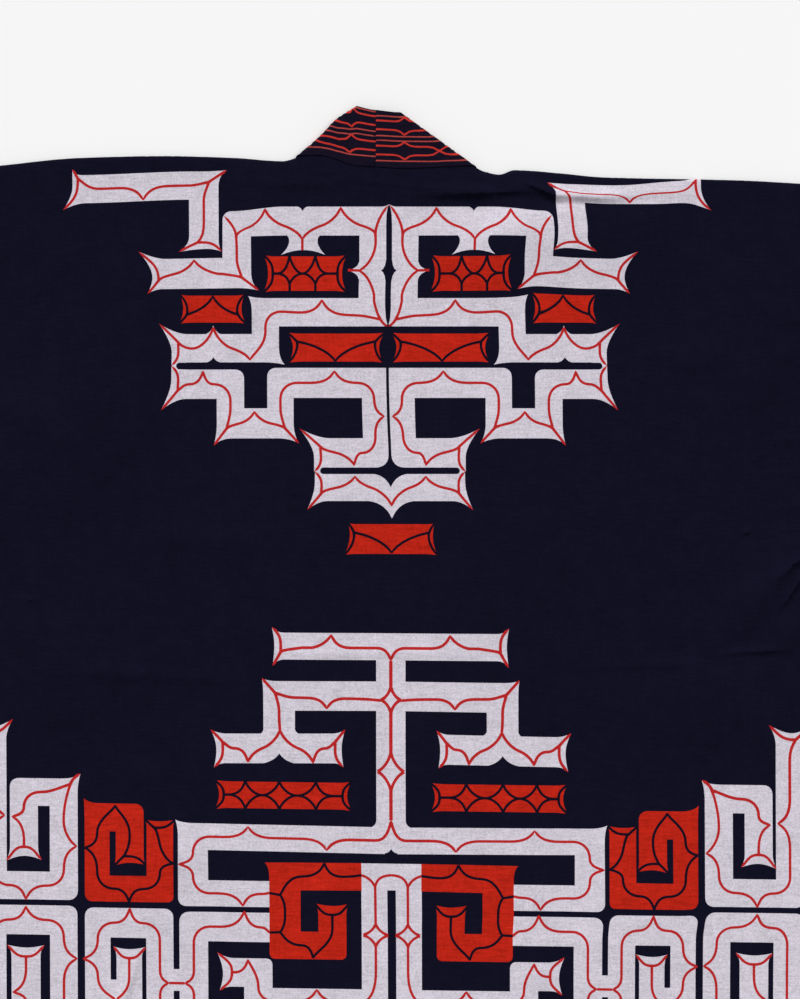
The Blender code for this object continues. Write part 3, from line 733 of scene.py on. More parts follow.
def sweep(start, lead, trail, end, count=9):
    """Points of a curve with two control points, without its start."""
    points = []
    for step in range(1, count + 1):
        share = step / count
        first = start.lerp(lead, share).lerp(lead.lerp(trail, share), share)
        second = lead.lerp(trail, share).lerp(trail.lerp(end, share), share)
        points.append(first.lerp(second, share))
    return points


def left_of(way):
    return Vector((-way.y, way.x))


def heading(angle):
    return Vector((math.cos(angle), math.sin(angle)))


def first_side(way):
    """Which side of a way is nearer the top, or nearer the middle on an upright way."""
    if abs(way.x) > abs(way.y):
        return -1 if way.x > 0.0 else 1
    return 1 if way.y > 0.0 else -1


def band_ways(band, drawn=False):
    """Corners of a band's middle, or of its drawn line, and the ways between them."""
    path = [Vector(place) for place in (drawn and band.line or band.path)]
    return path, [(after - before).normalized() for before, after in zip(path, path[1:])]


def end_tips(band, at_end):
    """Middle, outward way, and for each side its tip and its plain corner, of an end."""
    path, ways = band_ways(band)
    end = band.end if at_end else band.start
    middle = path[-1] if at_end else path[0]
    way = ways[-1] if at_end else ways[0]
    outward = way if at_end else -way
    half = band.widths[-1 if at_end else 0] / 2
    tips = {}
    corners = {}
    for sign in (-1, 1):
        beside = left_of(way) * sign
        corners[sign] = middle + beside * half
        tips[sign] = corners[sign].copy()
        if isinstance(end, End):
            side, on = end.first if sign == first_side(way) else end.second
            tips[sign] += beside * side + outward * on
    return middle, outward, tips, corners


def tip_edge(corner, inward, tip, end):
    """Edge of a band running into the tip at its end."""
    if not isinstance(end, End):
        return [corner]
    reach = TIP_REACH + TIP_SPREAD * (tip - corner).length
    start = corner + inward * reach * TIP_START
    return [start] + bend(start, corner + inward * reach * TIP_PULL, tip)


def shaped_corner(place, way_in, way_out, corner):
    """Points of one edge of a band as it goes round a corner."""
    if corner.shape == "round":
        start = place - way_in * corner.radius
        end = place + way_out * corner.radius
        return [start] + sweep(start, mix(start, place, ROUND_PULL), mix(end, place, ROUND_PULL), end, 6)
    if corner.shape == "thorn":
        start = place - way_in * THORN_REACH
        end = place + way_out * THORN_REACH
        tip = Vector(corner.tip)
        points = [start] + bend(start, place - way_in * THORN_REACH * THORN_FOOT, tip)
        return points + bend(tip, place + way_out * THORN_REACH * THORN_FOOT, end)
    return [place]


def band_edge(band, sign):
    """One edge of a band from its start to its end."""
    path, ways = band_ways(band)
    halves = [width / 2 for width in band.widths]
    _, outward, tips, corners = end_tips(band, False)
    points = list(reversed(tip_edge(corners[sign], -outward, tips[sign], band.start)))
    for index, corner in enumerate(band.corners):
        before = left_of(ways[index]) * sign
        after = left_of(ways[index + 1]) * sign
        place = path[index + 1] + before * halves[index] + after * halves[index + 1]
        outer = before.dot(ways[index + 1]) < 0.0
        points += shaped_corner(place, ways[index], ways[index + 1], corner if outer else SQUARE)
    _, outward, tips, corners = end_tips(band, True)
    return points + tip_edge(corners[sign], -outward, tips[sign], band.end)


def end_cap(band, at_end, first_sign):
    """Hollow edge between the two tips of an end, from the side of first_sign."""
    end = band.end if at_end else band.start
    if not isinstance(end, End):
        return []
    middle, _, tips, corners = end_tips(band, at_end)
    spans = {sign: (tips[sign] - corners[sign]).length for sign in (-1, 1)}
    total = max(0.1, spans[-1] + spans[1])
    lean = 0.5 * (spans[-first_sign] - spans[first_sign]) / total
    low = middle + (corners[first_sign] - middle) * lean
    points = bend(tips[first_sign], low + (corners[first_sign] - low) * CAP_PULL, low, 6)
    points += bend(low, low + (corners[-first_sign] - low) * CAP_PULL, tips[-first_sign], 6)
    return points[:-1]


def band_outline(band):
    """Closed outline of a band."""
    points = band_edge(band, 1)
    points += end_cap(band, True, 1)
    points += list(reversed(band_edge(band, -1)))
    points += end_cap(band, False, -1)
    return points


def tapered(share, distance):
    """Thickness of a line at a distance from an end of its own thickness."""
    return mix(share, 1.0, smoothstep(distance / (BLUNT_REACH if share > 0.5 else SHARP_REACH)))


def ribbon(points, half, start_share=1.0, end_share=1.0):
    """Outline of a line drawn through the points, thicker or thinner at its ends."""
    travelled = [0.0]
    for before, after in zip(points, points[1:]):
        travelled.append(travelled[-1] + (after - before).length)
    total = travelled[-1]
    left = []
    right = []
    for index, point in enumerate(points):
        way = points[min(index + 1, len(points) - 1)] - points[max(index - 1, 0)]
        beside = left_of(way.normalized())
        width = half * tapered(start_share, travelled[index])
        width *= tapered(end_share, total - travelled[index])
        left.append(point + beside * width)
        right.append(point - beside * width)
    return left + list(reversed(right))


def without_repeats(points):
    """The points without any that lies on the one before it."""
    return [point for index, point in enumerate(points)
            if index == 0 or (point - points[index - 1]).length > SAME_PLACE]


class Feature:
    """A place where a band's line starts or ends: a cusp, a join or the band's end."""

    def __init__(self, part, at, point, reach, share=1.0, lead=None, cusp=False, slant_room=math.inf):
        self.part = part  # index of the straight part of the path
        self.at = at  # distance from the part's start
        self.point = point  # where the line goes to
        self.reach = reach  # distance over which the line finds the middle of its band
        self.share = share  # thickness there
        self.lead = lead  # way in which the line leaves the point, if that is set
        self.cusp = cusp
        self.slant_room = 0.0 if cusp else slant_room  # room from which a run to a cusp slants


def feature_curve(feature, way, middle_point, reach, slant=None):
    """Curve from a feature to the middle line, which it meets at middle_point."""
    foot = middle_point - way * reach
    if slant or feature.cusp:
        lead = feature.point + (foot - feature.point) * CUSP_AWAY + way * reach * CUSP_ALONG
        trail = foot + way * reach * CUSP_TRAIL
        if slant:
            trail = middle_point - slant * reach * SLANT_TRAIL
        return sweep(feature.point, lead, trail, middle_point, 10)
    if feature.lead:
        lead = feature.point + feature.lead * reach * SET_LEAD
    else:
        lead = feature.point.lerp(middle_point, PLAIN_LEAD)
    return sweep(feature.point, lead, middle_point - way * reach * 0.5, middle_point, 8)


def run_between(band, start, end):
    """Line along the middle of a band between two of its features."""
    path, ways = band_ways(band, True)
    lengths = [(after - before).length for before, after in zip(path, path[1:])]
    points = [start.point.copy()]
    slant = None
    near_start = False
    near_end = False
    if start.part == end.part:
        room = end.at - start.at
        reaches = start.reach + end.reach
        slants = max(start.slant_room, end.slant_room) < room < SLANT_LIMIT * reaches
        if slants and (start.cusp or end.cusp):
            slant = (ways[start.part] * SLANT_BIAS + (end.point - start.point).normalized()).normalized()
        share = min(1.0, room / max(0.1, reaches))
        start_reach = start.reach * share
        end_reach = end.reach * share
    else:
        room_start = lengths[start.part] - start.at
        room_end = end.at
        near_start = start.cusp and room_start < NEAR_CORNER
        near_end = end.cusp and room_end < NEAR_CORNER
        turn_start = min(VEIN_TURN, TURN_ROOM * room_start)
        turn_end = min(VEIN_TURN, TURN_ROOM * room_end)
        start_reach = min(start.reach, room_start - turn_start)
        end_reach = min(end.reach, room_end - turn_end)
    first = path[start.part] + ways[start.part] * (start.at + start_reach)
    last = path[end.part] + ways[end.part] * (end.at - end_reach)
    if not near_start:
        points += feature_curve(start, ways[start.part], first, start_reach, slant)
    for part in range(start.part, end.part):
        corner = path[part + 1]
        before = turn_start if part == start.part else min(VEIN_TURN, lengths[part] / 2)
        after = turn_end if part + 1 == end.part else min(VEIN_TURN, lengths[part + 1] / 2)
        enter = corner - ways[part] * before
        leave = corner + ways[part + 1] * after
        lead = mix(enter, corner, TURN_PULL)
        trail = mix(leave, corner, TURN_PULL)
        if near_start and part == start.part:
            enter = start.point
            lead = enter + (corner - ways[part] * room_start - enter) * 0.5 + ways[part] * NEAR_PUSH
            trail = mix(leave, corner, NEAR_PULL)
        if near_end and part + 1 == end.part:
            leave = end.point
            trail = leave + (corner + ways[part + 1] * room_end - leave) * 0.5 - ways[part + 1] * NEAR_PUSH
            lead = mix(enter, corner, NEAR_PULL)
        if (enter - points[-1]).length > 0.5:
            points.append(enter)
        points += sweep(enter, lead, trail, leave, 10)
    if near_end:
        return without_repeats(points)
    if (last - points[-1]).length > 0.5:
        points.append(last)
    back_slant = -slant if slant else None
    tail = [end.point.copy()] + feature_curve(end, -ways[end.part], last, end_reach, back_slant)
    points += list(reversed(tail))[1:]
    return without_repeats(points)


def tip_arc(tip, join, outward, beside):
    """Line that follows the hollow end of a band, from a tip to where the lines join."""
    span = (join - tip).length
    inward = (-outward - beside * 0.9).normalized()
    return [tip.copy()] + sweep(tip, tip + inward * span * 0.5, join + beside * span * 0.42, join, 9)


def end_veins(band, at_end):
    """Feature at an end of a band, and the lines between it and the end's tips."""
    end = band.end if at_end else band.start
    path, ways = band_ways(band)
    part = len(ways) - 1 if at_end else 0
    way = ways[part]
    at = (path[part + 1] - path[part]).length if at_end else 0.0
    inwards = -1.0 if at_end else 1.0
    middle, outward, tips, _ = end_tips(band, at_end)
    if isinstance(end, Join):
        return Feature(part, at, Vector((end.out, end.down)), end.reach), []
    if not end:
        return Feature(part, at, middle, 0.1), []
    lines = []
    if end.vein == "middle":
        depth = TAB_JOIN if band.mirrored else MIDDLE_JOIN
        join = middle - outward * depth
        for sign in (-1, 1):
            lines.append(tip_arc(tips[sign], join, outward, left_of(way) * sign))
        return Feature(part, at + inwards * depth, join, JOIN_REACH, JOIN_SHARE), lines
    sign = first_side(way) if end.vein == "first" else -first_side(way)
    beside = left_of(way) * sign
    depth = end.depth
    join = middle - outward * depth + beside * band.widths[part] * end.lean
    lines.append([tips[sign]] + bend(tips[sign], join - (join - tips[sign]) * 0.4 + beside * 0.4, join, 5))
    lines.append(tip_arc(tips[-sign], join, outward, -beside))
    lead = ((join - tips[sign]).normalized() - outward * 0.6).normalized()
    feature = Feature(part, at + inwards * depth, join, END_REACH, JOIN_SHARE, lead,
                      slant_room=END_SLANT_ROOM)
    return feature, lines


def corner_veins(band, part):
    """The two features of a corner whose lines join on the way to its tip, and that line."""
    path, ways = band_ways(band, True)
    corner = band.corners[part]
    tip = Vector(corner.tip)
    cross = path[part + 1]
    length = (cross - path[part]).length
    join = Vector(corner.join) if corner.join else cross.lerp(tip, THORN_JOIN)
    before_at = min(length, length + (join - cross).dot(ways[part]))
    after_at = max(0.0, (join - cross).dot(ways[part + 1]))
    before = Feature(part, before_at, join, corner.reach, THORN_SHARE, slant_room=0.0)
    after = Feature(part + 1, after_at, join, corner.reach, THORN_SHARE, slant_room=0.0)
    control = tip.lerp(join, 0.5)
    if corner.join:
        control.x = mix(control.x, join.x, 0.8)
        if abs(ways[part].y) > abs(ways[part].x):
            before.lead = -ways[part]
        else:
            after.lead = ways[part + 1]
    return before, after, [tip] + bend(tip, control, join, 6)


def band_veins(band):
    """All the lines of a band, each with the thickness of its two ends."""
    if band.cusps is None:
        return []
    path, ways = band_ways(band, True)
    start, lines = end_veins(band, False)
    end, more = end_veins(band, True)
    drawn = [(line, NEEDLE_SHARE, JOIN_SHARE) for line in lines + more]
    for flip in ((1.0, -1.0) if band.mirrored else (1.0,)):
        runs = [[start]]
        for part, way in enumerate(ways):
            level = abs(way.x) > abs(way.y)
            placed = []
            for cusp in rows(Cusp, *band.cusps):
                if cusp.part != part:
                    continue
                origin = path[part].x if level else path[part].y
                base = path[part].y if level else path[part].x
                to = base + flip * (cusp.to - base)
                point = Vector((cusp.at, to)) if level else Vector((to, cusp.at))
                share = CUSP_SHARE
                if flip < 0.0 and band.foot:
                    foot = point - Vector((0.0, band.foot))
                    drawn.append(([point, foot], 1.0, 1.0))
                    point = foot
                    share = 1.0
                placed.append(Feature(part, abs(cusp.at - origin), point, cusp.reach, share, cusp=True))
            placed.sort(key=lambda feature: feature.at)
            runs[-1] += placed
            if part < len(band.corners) and band.corners[part].vein:
                before, after, stroke = corner_veins(band, part)
                drawn.append((stroke, NEEDLE_SHARE, THORN_SHARE))
                runs[-1].append(before)
                runs.append([after])
        runs[-1].append(end)
        for run in runs:
            for first, second in zip(run, run[1:]):
                if first.part == second.part and second.at - first.at < STROKE_GAP:
                    continue
                drawn.append((run_between(band, first, second), first.share, second.share))
    return drawn


def nick_outline(nick):
    """A pointed notch or thorn with hollow sides on a straight edge."""
    angle = math.radians(nick.turn)
    up = Vector((math.sin(angle), -math.cos(angle)))
    beside = heading(angle)
    base = Vector((nick.out, nick.down))
    tip = base + up * nick.height
    start = base - beside * nick.half
    end = base + beside * nick.half
    points = [start - up * OVERLAP, start]
    points += bend(start, base - beside * nick.half * NOTCH_FOOT + up * nick.height * NOTCH_RISE, tip)
    points += bend(tip, base + beside * nick.half * NOTCH_FOOT + up * nick.height * NOTCH_RISE, end)
    return points + [end - up * OVERLAP]


def fillet_outline(fillet):
    """Small hollow triangle that rounds an inner corner."""
    corner = Vector((fillet.out, fillet.down))
    start = corner + Vector((fillet.to_out, 0.0))
    end = corner + Vector((0.0, fillet.to_down))
    back = Vector([math.copysign(FILLET_OVERLAP, reach) for reach in (fillet.to_out, fillet.to_down)])
    points = [corner - back, Vector((start.x, corner.y - back.y)), start]
    points += sweep(start, mix(start, corner, FILLET_PULL), mix(end, corner, FILLET_PULL), end, 6)
    return points + [Vector((corner.x - back.x, end.y))]


def diamond_lines(diamond):
    """Four hollow sides between the corners of a diamond."""
    middle = Vector((diamond.out, diamond.down))
    across = Vector((diamond.half_out, 0.0))
    along = Vector((0.0, diamond.half_down))
    corners = [middle - along, middle + across, middle + along, middle - across]
    lines = []
    for index, corner in enumerate(corners):
        after = corners[(index + 1) % 4]
        lines.append([corner] + bend(corner, mix((corner + after) / 2, middle, DIAMOND_PULL), after, 6))
    return lines


def patch_outline(patch):
    return straight((patch.out, patch.down), (patch.far_out, patch.down),
                    (patch.far_out, patch.far_down), (patch.out, patch.far_down))


def straight(*places):
    """Points of a line through a few places."""
    return [Vector(place) for place in places]


def bow_shapes(bow):
    """Outline and lines of a tab with one cusp, whose line runs out into two corners."""
    start, end = bow.ends
    middle = (bow.top + bow.low) / 2
    ends = End((0.7, bow.flare[0]), (0.9, bow.flare[1]), "middle")
    tab = Band(((start, middle), (end, middle)), (bow.low - bow.top,), (), ends, ends)
    cusp = Vector((bow.cusp_out, bow.cusp_down))
    lines = []
    for at_end, place in ((False, start), (True, end)):
        _, outward, tips, _ = end_tips(tab, at_end)
        join = Vector((place, bow.level)) - outward * 3.0
        near = min(tips, key=lambda sign: abs(tips[sign].y - bow.level))
        side = 1.0 if tips[-near].y > tips[near].y else -1.0
        control = tips[near].lerp(join, 0.5) - outward * 0.8
        lines.append([tips[near].copy()] + bend(tips[near], control, join, 5))
        far = tips[-near]
        lead = far - outward * 5.5 - Vector((0, side * 5))
        trail = join - outward * 1.2 + Vector((0, side * 5))
        lines.append([far.copy()] + sweep(far, lead, trail, join, 8))
        foot = Vector((cusp.x, bow.level))
        lead = cusp + (foot - cusp) * 0.42 + (join - foot) * 0.13
        trail = foot.lerp(join, 0.52) + (cusp - foot) * 0.16
        lines.append([cusp.copy()] + sweep(cusp, lead, trail, join, 12))
    return band_outline(tab), lines


def slit_outline():
    """The narrow navy slit down the middle of the upper block, with its diamond."""
    points = [Vector((station.half, station.down)) for station in SLIT]
    return points + [Vector((-point.x, point.y)) for point in reversed(points)]


def stub_outline():
    """The short foot that hangs from the upper band, with wide tips."""
    out = STUB_OUT
    left = Vector((out + 17.4, STUB_MOUTH))
    right = Vector((out - 17.0, STUB_MOUTH))
    middle = Vector((out, 65.6))
    points = [Vector((out - STUB_HALF, STUB_TOP)), Vector((out + STUB_HALF, STUB_TOP))]
    points += sweep(points[1], Vector((out + 8.6, 55.0)), Vector((out + 10.4, 63.5)), left)
    points += bend(left, Vector((out + 8.0, 65.4)), middle)
    points += bend(middle, Vector((out - 8.0, 65.4)), right)
    points += sweep(right, Vector((out - 10.4, 63.5)), Vector((out - 8.6, 55.0)), points[0])
    return points[:-1]


def slot_outline(slot):
    """A navy slot with a round end, cut into the joined ends of two bands."""
    middle = (slot.upper + slot.lower) / 2
    radius = (slot.lower - slot.upper) / 2
    points = straight((slot.far, slot.lower), (slot.far, slot.upper))
    for step in range(7):
        angle = math.pi * (step / 6 - 0.5)
        across = slot.end - radius + radius * math.cos(angle)
        points.append(Vector((across, middle + radius * math.sin(angle))))
    return points


def joining_lines():
    """Lines that join the lines of two bands, and those of the gate at the hem."""
    join = Vector((12.7, 561.8))
    low = GATE_DIAMOND.down + GATE_DIAMOND.half_down
    foot = Vector((12.4, 652.2))
    middle = GATE_DIAMOND.out
    drop = Vector((middle, 628))
    return [
        straight((67.5, 57.0), (67.5, 65.6)),
        straight((23.0, 81.5), (32.0, 81.2)),
        straight((161.5, 639.0), (173.5, 639.0)),
        [Vector((23.5, 552.8))] + bend(Vector((23.5, 552.8)), Vector((16.0, 554.5)), join),
        [Vector((0, 552.4))] + sweep(Vector((0, 552.4)), Vector((6, 552.6)), Vector((11.5, 554.5)), join),
        straight(join, (middle, GATE_DIAMOND.down - GATE_DIAMOND.half_down)),
        [Vector((middle, low)), drop] + sweep(drop, Vector((middle, 640)), Vector((16, 652.2)),
                                              foot + Vector((14, 0))),
    ]


def middle_lines():
    """Lines down the stem at the middle of the back."""
    upper, lower = MIDDLE_DIAMONDS
    return [
        straight((0, 385.5), (0, upper.down - upper.half_down)),
        straight((0, upper.down + upper.half_down), (0, lower.down - lower.half_down)),
        straight((0, lower.down + lower.half_down), (0, 509.7)),
    ]


def back_regions(line_half):
    """All printed shapes of the back in painting order, as (ink, outline)."""
    regions = []

    def paint(side, ink, outline):
        places = divided(outline, EDGE_STEP)
        regions.append((ink, [print_place(side, point.x, point.y) for point in places]))

    def draw(side, ink, line, start_share=1.0, end_share=1.0):
        bold = STEM_DOWN[0] < line[0].y < STEM_DOWN[1]
        half = line_half * (DARK_SHARE if ink == DARK else BOLD_SHARE if bold else 1.0)
        paint(side, ink, ribbon(line, half, start_share, end_share))

    for side in (-1, 1):
        for band in WHITE_BANDS:
            paint(side, WHITE, band_outline(band))
        for patch in WHITE_PATCHES:
            paint(side, WHITE, patch_outline(patch))
        paint(side, WHITE, stub_outline())
    for side in (-1, 1):
        for fillet in FILLETS:
            paint(side, WHITE, fillet_outline(fillet))
        for slot in SLOTS:
            paint(side, NAVY, slot_outline(slot))
        for nick in NICKS:
            paint(side, nick.ink, nick_outline(nick))
    paint(1, NAVY, slit_outline())
    for side in (-1, 1):
        for band in WHITE_BANDS:
            for line, start_share, end_share in band_veins(band):
                draw(side, LINE, line, start_share, end_share)
        for line in joining_lines():
            draw(side, LINE, line)
        for line in diamond_lines(GATE_DIAMOND):
            draw(side, LINE, line, DIAMOND_SHARE, DIAMOND_SHARE)
    for line in middle_lines():
        draw(1, LINE, line, DIAMOND_SHARE, DIAMOND_SHARE)
    for diamond in MIDDLE_DIAMONDS:
        for line in diamond_lines(diamond):
            draw(1, LINE, line, DIAMOND_SHARE, DIAMOND_SHARE)
    for side in (-1, 1):
        for band in RED_BANDS:
            paint(side, RED, band_outline(band))
            for line, start_share, end_share in band_veins(band):
                draw(side, DARK, line, max(1.0, start_share), max(1.0, end_share))
        for line in (straight((95.0, 567.6), (87.0, 569.0)), straight((95.0, 598.4), (87.0, 598.0))):
            draw(side, DARK, line)
        for bow in BOWS:
            outline, lines = bow_shapes(bow)
            paint(side, RED, outline)
            for line in lines:
                draw(side, DARK, line, BOW_SHARE, JOIN_SHARE)
    outline, lines = bow_shapes(MIDDLE_BOW)
    paint(1, RED, outline)
    for line in lines:
        draw(1, DARK, line, BOW_SHARE, JOIN_SHARE)
    return regions


# Dividing printed cloth along the edges of its print


def divided(outline, step):
    """The closed outline with no side longer than the step."""
    points = []
    for index, point in enumerate(outline):
        after = outline[(index + 1) % len(outline)]
        count = max(1, math.ceil((after - point).length / step))
        points += [point.lerp(after, share / count) for share in range(count)]
    return points


def inside(places, outline):
    """Which of the places lie inside a closed outline, by its winding number."""
    turns = np.zeros(len(places), dtype=int)
    x = places[:, 0]
    y = places[:, 1]
    for index, start in enumerate(outline):
        end = outline[(index + 1) % len(outline)]
        side = (end[0] - start[0]) * (y - start[1]) - (x - start[0]) * (end[1] - start[1])
        turns += ((start[1] <= y) & (end[1] > y) & (side > 0)).astype(int)
        turns -= ((start[1] > y) & (end[1] <= y) & (side < 0)).astype(int)
    return turns != 0


SNAP = 0.002  # points nearer than this are one, in millimetres


def divide_print(outline, regions, grid, step, clear):
    """Triangles of a flat cloth along its print.

    Returns the points, the triangles and the ink of each triangle.
    """
    loops = [divided(outline, step)] + [divided(shape, step) for _, shape in regions]
    taken = set()
    points = []
    edges = []
    for loop in loops:
        first = len(points)
        for index, point in enumerate(loop):
            points.append(point)
            edges.append((first + index, first + (index + 1) % len(loop)))
            after = loop[(index + 1) % len(loop)]
            pieces = max(1, math.ceil((after - point).length / clear))
            for piece in range(pieces):
                place = point.lerp(after, piece / pieces)
                taken.add((round(place.x / clear), round(place.y / clear)))
    for point in grid:
        cell = (round(point.x / clear), round(point.y / clear))
        if cell not in taken:
            taken.add(cell)
            points.append(point)
    result = delaunay_2d_cdt(points, edges, [], 0, SNAP, False)
    flat = np.array([tuple(point) for point in result[0]])
    triangles = np.array(result[2])
    centres = flat[triangles].mean(axis=1)
    kept = inside(centres, [tuple(point) for point in outline])
    triangles = triangles[kept]
    centres = centres[kept]
    inks = np.zeros(len(triangles), dtype=int)
    for ink, shape in regions:
        corners = [tuple(point) for point in shape]
        low = np.min(corners, axis=0)
        high = np.max(corners, axis=0)
        near = np.where(((centres >= low) & (centres <= high)).all(axis=1))[0]
        if len(near):
            inks[near[inside(centres[near], corners)]] = ink
    return flat, triangles, inks


def printed_object(name, divided_print, place, materials, wall, offset):
    """Object from a divided print, laid in place and given its wall."""
    flat, triangles, inks = divided_print
    mesh = bpy.data.meshes.new(name)
    used, corners = np.unique(triangles, return_inverse=True)
    verts = [place(*flat[index]) for index in used]
    mesh.from_pydata(verts, [], corners.reshape(triangles.shape).tolist())
    mesh.polygons.foreach_set("material_index", [int(ink) for ink in inks])
    highest = max(mesh.polygons, key=lambda face: face.center.z)
    if highest.normal.z < 0.0:
        mesh.flip_normals()
    mesh.shade_smooth()
    for material in materials:
        mesh.materials.append(material)
    return walled(mesh, wall, offset, len(materials))


def add_object(name, data):
    """Add an object to the scene."""
    made = bpy.data.objects.new(name, data)
    bpy.context.scene.collection.objects.link(made)
    return made


def keep_result(piece, modifier):
    """Keep what a modifier makes as the piece's plain mesh, and take the modifier off."""
    shown = piece.evaluated_get(bpy.context.evaluated_depsgraph_get())
    made = bpy.data.meshes.new_from_object(shown)
    piece.modifiers.remove(modifier)
    piece.data = made
    made.name = piece.name
    return made


def walled(mesh, wall, offset, material_count):
    """Plain mesh object with its wall from Solidify; its inner side takes the last material."""
    piece = add_object(mesh.name, mesh)
    solid = piece.modifiers.new("wall", "SOLIDIFY")
    solid.thickness = wall
    solid.offset = offset
    solid.use_even_offset = False
    solid.use_quality_normals = True
    solid.material_offset = material_count
    solid.material_offset_rim = material_count
    keep_result(piece, solid).set_sharp_from_angle(angle=RIM_ANGLE)
    return piece


def word_of(side):
    return "left" if side < 0 else "right"


def surface_mesh(name, grid, closed, material):
    """Mesh from rows of points, with its outer side up where it is highest."""
    mesh = bpy.data.meshes.new(name)
    shape = bmesh.new()
    verts = [[shape.verts.new(point) for point in row] for row in grid]
    last = len(verts[0]) if closed else len(verts[0]) - 1
    for upper, lower in zip(verts, verts[1:]):
        for index in range(last):
            after = (index + 1) % len(upper)
            shape.faces.new((upper[index], lower[index], lower[after], upper[after]))
    bmesh.ops.recalc_face_normals(shape, faces=shape.faces)
    lifted = max(shape.faces, key=lambda face: face.calc_center_median().z)
    if lifted.normal.z < 0.0:
        bmesh.ops.reverse_faces(shape, faces=shape.faces)
    shape.to_mesh(mesh)
    shape.free()
    mesh.shade_smooth()
    mesh.materials.append(material)
    return mesh


def finish_piece(piece, node):
    """Put a piece on its body and in place of its solid."""
    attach(piece, BODY)
    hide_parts(node)


# The back

BACK_CLEAR = 0.9  # points of the cloth stay this far from the print's edges, in millimetres
SIDE_STEP = 0.004  # along the cloth's long edges
TOP_STEP = 0.002
TURN_SHARES = (0.0, 0.25, 0.5, 0.75, 1.0)
CREASE_ABOVE = 1.8  # rows reach this many of a crease's widths to each side
CREASE_BELOW = 2.2
CREASE_STRETCH = 3.0  # points stand wider apart along a crease
GRID_LAP = 4.0
GRID_TOP = 440.0
ROW_SHARE = 0.87


def millimetres(across, along):
    """A place in metres as a place in millimetres."""
    return Vector((across / MM, along / MM))


def back_outline():
    """Outline of the back's flat cut in millimetres."""
    points = []
    inner = HALF_WIDTH - EDGE_STRIP
    for along in even_steps(HEM_Y, back_start(inner) + EDGE_STRIP, SIDE_STEP):
        points.append(millimetres(back_side(along) + EDGE_STRIP, along))
    for across in even_steps(inner, -inner, TOP_STEP):
        points.append(millimetres(across, back_start(across) + EDGE_STRIP))
    for along in even_steps(back_start(-inner) + EDGE_STRIP, HEM_Y, SIDE_STEP):
        points.append(millimetres(-(back_side(along) + EDGE_STRIP), along))
    return points


def crease_rows(fold):
    """Points in close rows along a crease."""
    way = heading(math.radians(fold.turn))
    beside = left_of(way)
    steps = int(fold.length / 2 / MM / (CREASE_STRETCH * CREASE_GRID))
    above = int(CREASE_ABOVE * fold.width / MM / CREASE_GRID)
    below = int(CREASE_BELOW * fold.width * fold.lee / MM / CREASE_GRID) + 1
    points = []
    for step in range(-steps, steps + 1):
        for row in range(-below, above + 1):
            offset = way * (step * CREASE_STRETCH * CREASE_GRID) + beside * (row * CREASE_GRID)
            points.append(millimetres(fold.across, fold.along) + offset)
    return points


def back_grid():
    """Points inside the back: an even grid, and closer rows at edges and creases."""
    points = []
    for fold in CREASES:
        if abs(fold.across) <= HALF_WIDTH:
            points += crease_rows(fold)
    arc = EDGE_RADIUS * math.pi / 2
    for across in even_steps(-HALF_WIDTH, HALF_WIDTH, SIDE_STEP):
        start = back_start(min(HALF_WIDTH - EDGE_STRIP, max(EDGE_STRIP - HALF_WIDTH, across)))
        points += [millimetres(across, start + share * arc) for share in TURN_SHARES]
    for along in even_steps(HEM_Y, UNDERARM_Y, BACK_GRID * MM):
        for share in TURN_SHARES:
            points += [millimetres(side * (back_side(along) + share * arc), along) for side in (-1, 1)]
    for beyond in HEM_ROWS:
        row = HEM_Y + (HEM_DEPTH + beyond)
        points += [millimetres(across, row) for across in even_steps(-HALF_WIDTH, HALF_WIDTH, SIDE_STEP)]
    reach = HALF_WIDTH / MM + GRID_LAP
    for index, along in enumerate(even_steps(HEM_Y / MM, GRID_TOP, BACK_GRID * ROW_SHARE)):
        shift = BACK_GRID / 2 if index % 2 else 0.0
        points += [Vector((across + shift, along)) for across in even_steps(-reach, reach, BACK_GRID)]
    return points


def lay_back(materials, sizes):
    """The wide back with its print."""
    outline = back_outline()
    regions = back_regions(sizes.line_width / 2 / MM)
    grid = back_grid()
    kept = inside(np.array([tuple(point) for point in grid]), [tuple(point) for point in outline])
    grid = [point for point, keep in zip(grid, kept) if keep]
    cloth = divide_print(outline, regions, grid, EDGE_STEP, BACK_CLEAR)

    def place(across, along):
        return back_place(across * MM, along * MM)

    piece = printed_object("back_cloth", cloth, place, materials, sizes.wall, -1.0)
    finish_piece(piece, "back")
    length = top_edge(0.0) - HEM_Y + EDGE_STRIP


# Sleeves, fronts and collar band

SLEEVE_UPPER = 40  # steps of a sleeve's mesh down its upper side, its under side and a fold
SLEEVE_UNDER = 12
SLEEVE_ARC = 10
CUFF_ROWS_START = 0.014
CUFF_ROW = 0.004
FRONT_COLUMNS = 20
FRONT_SPREAD = 1.5  # columns of a front stand closer together beside the band
FRONT_STEP = 0.008
FRONT_LONG_STEP = 0.020
FRONT_ROUNDS = 4


def sleeve_place(side, station, depth):
    """Place on a sleeve, from armhole to cuff and from its top to its underside."""
    lean = CUFF_LEAN * depth * smoothstep(station)
    across = side * (mix(HALF_WIDTH + SEWN_GAP, CUFF_X, station) - lean)
    high = top_edge(across) - EDGE_RADIUS
    low = under_edge(across) + EDGE_RADIUS
    return across, mix(high, low, depth)


def sleeve_fold_point(side, station, depth, angle):
    """Place on the fold along the top or the underside of a sleeve."""
    across, along = sleeve_place(side, station, depth)
    outwards = EDGE_RADIUS * math.sin(angle) * (1.0 - 2.0 * depth)
    return Vector((across, along + outwards, EDGE_RADIUS * (1.0 + math.cos(angle))))


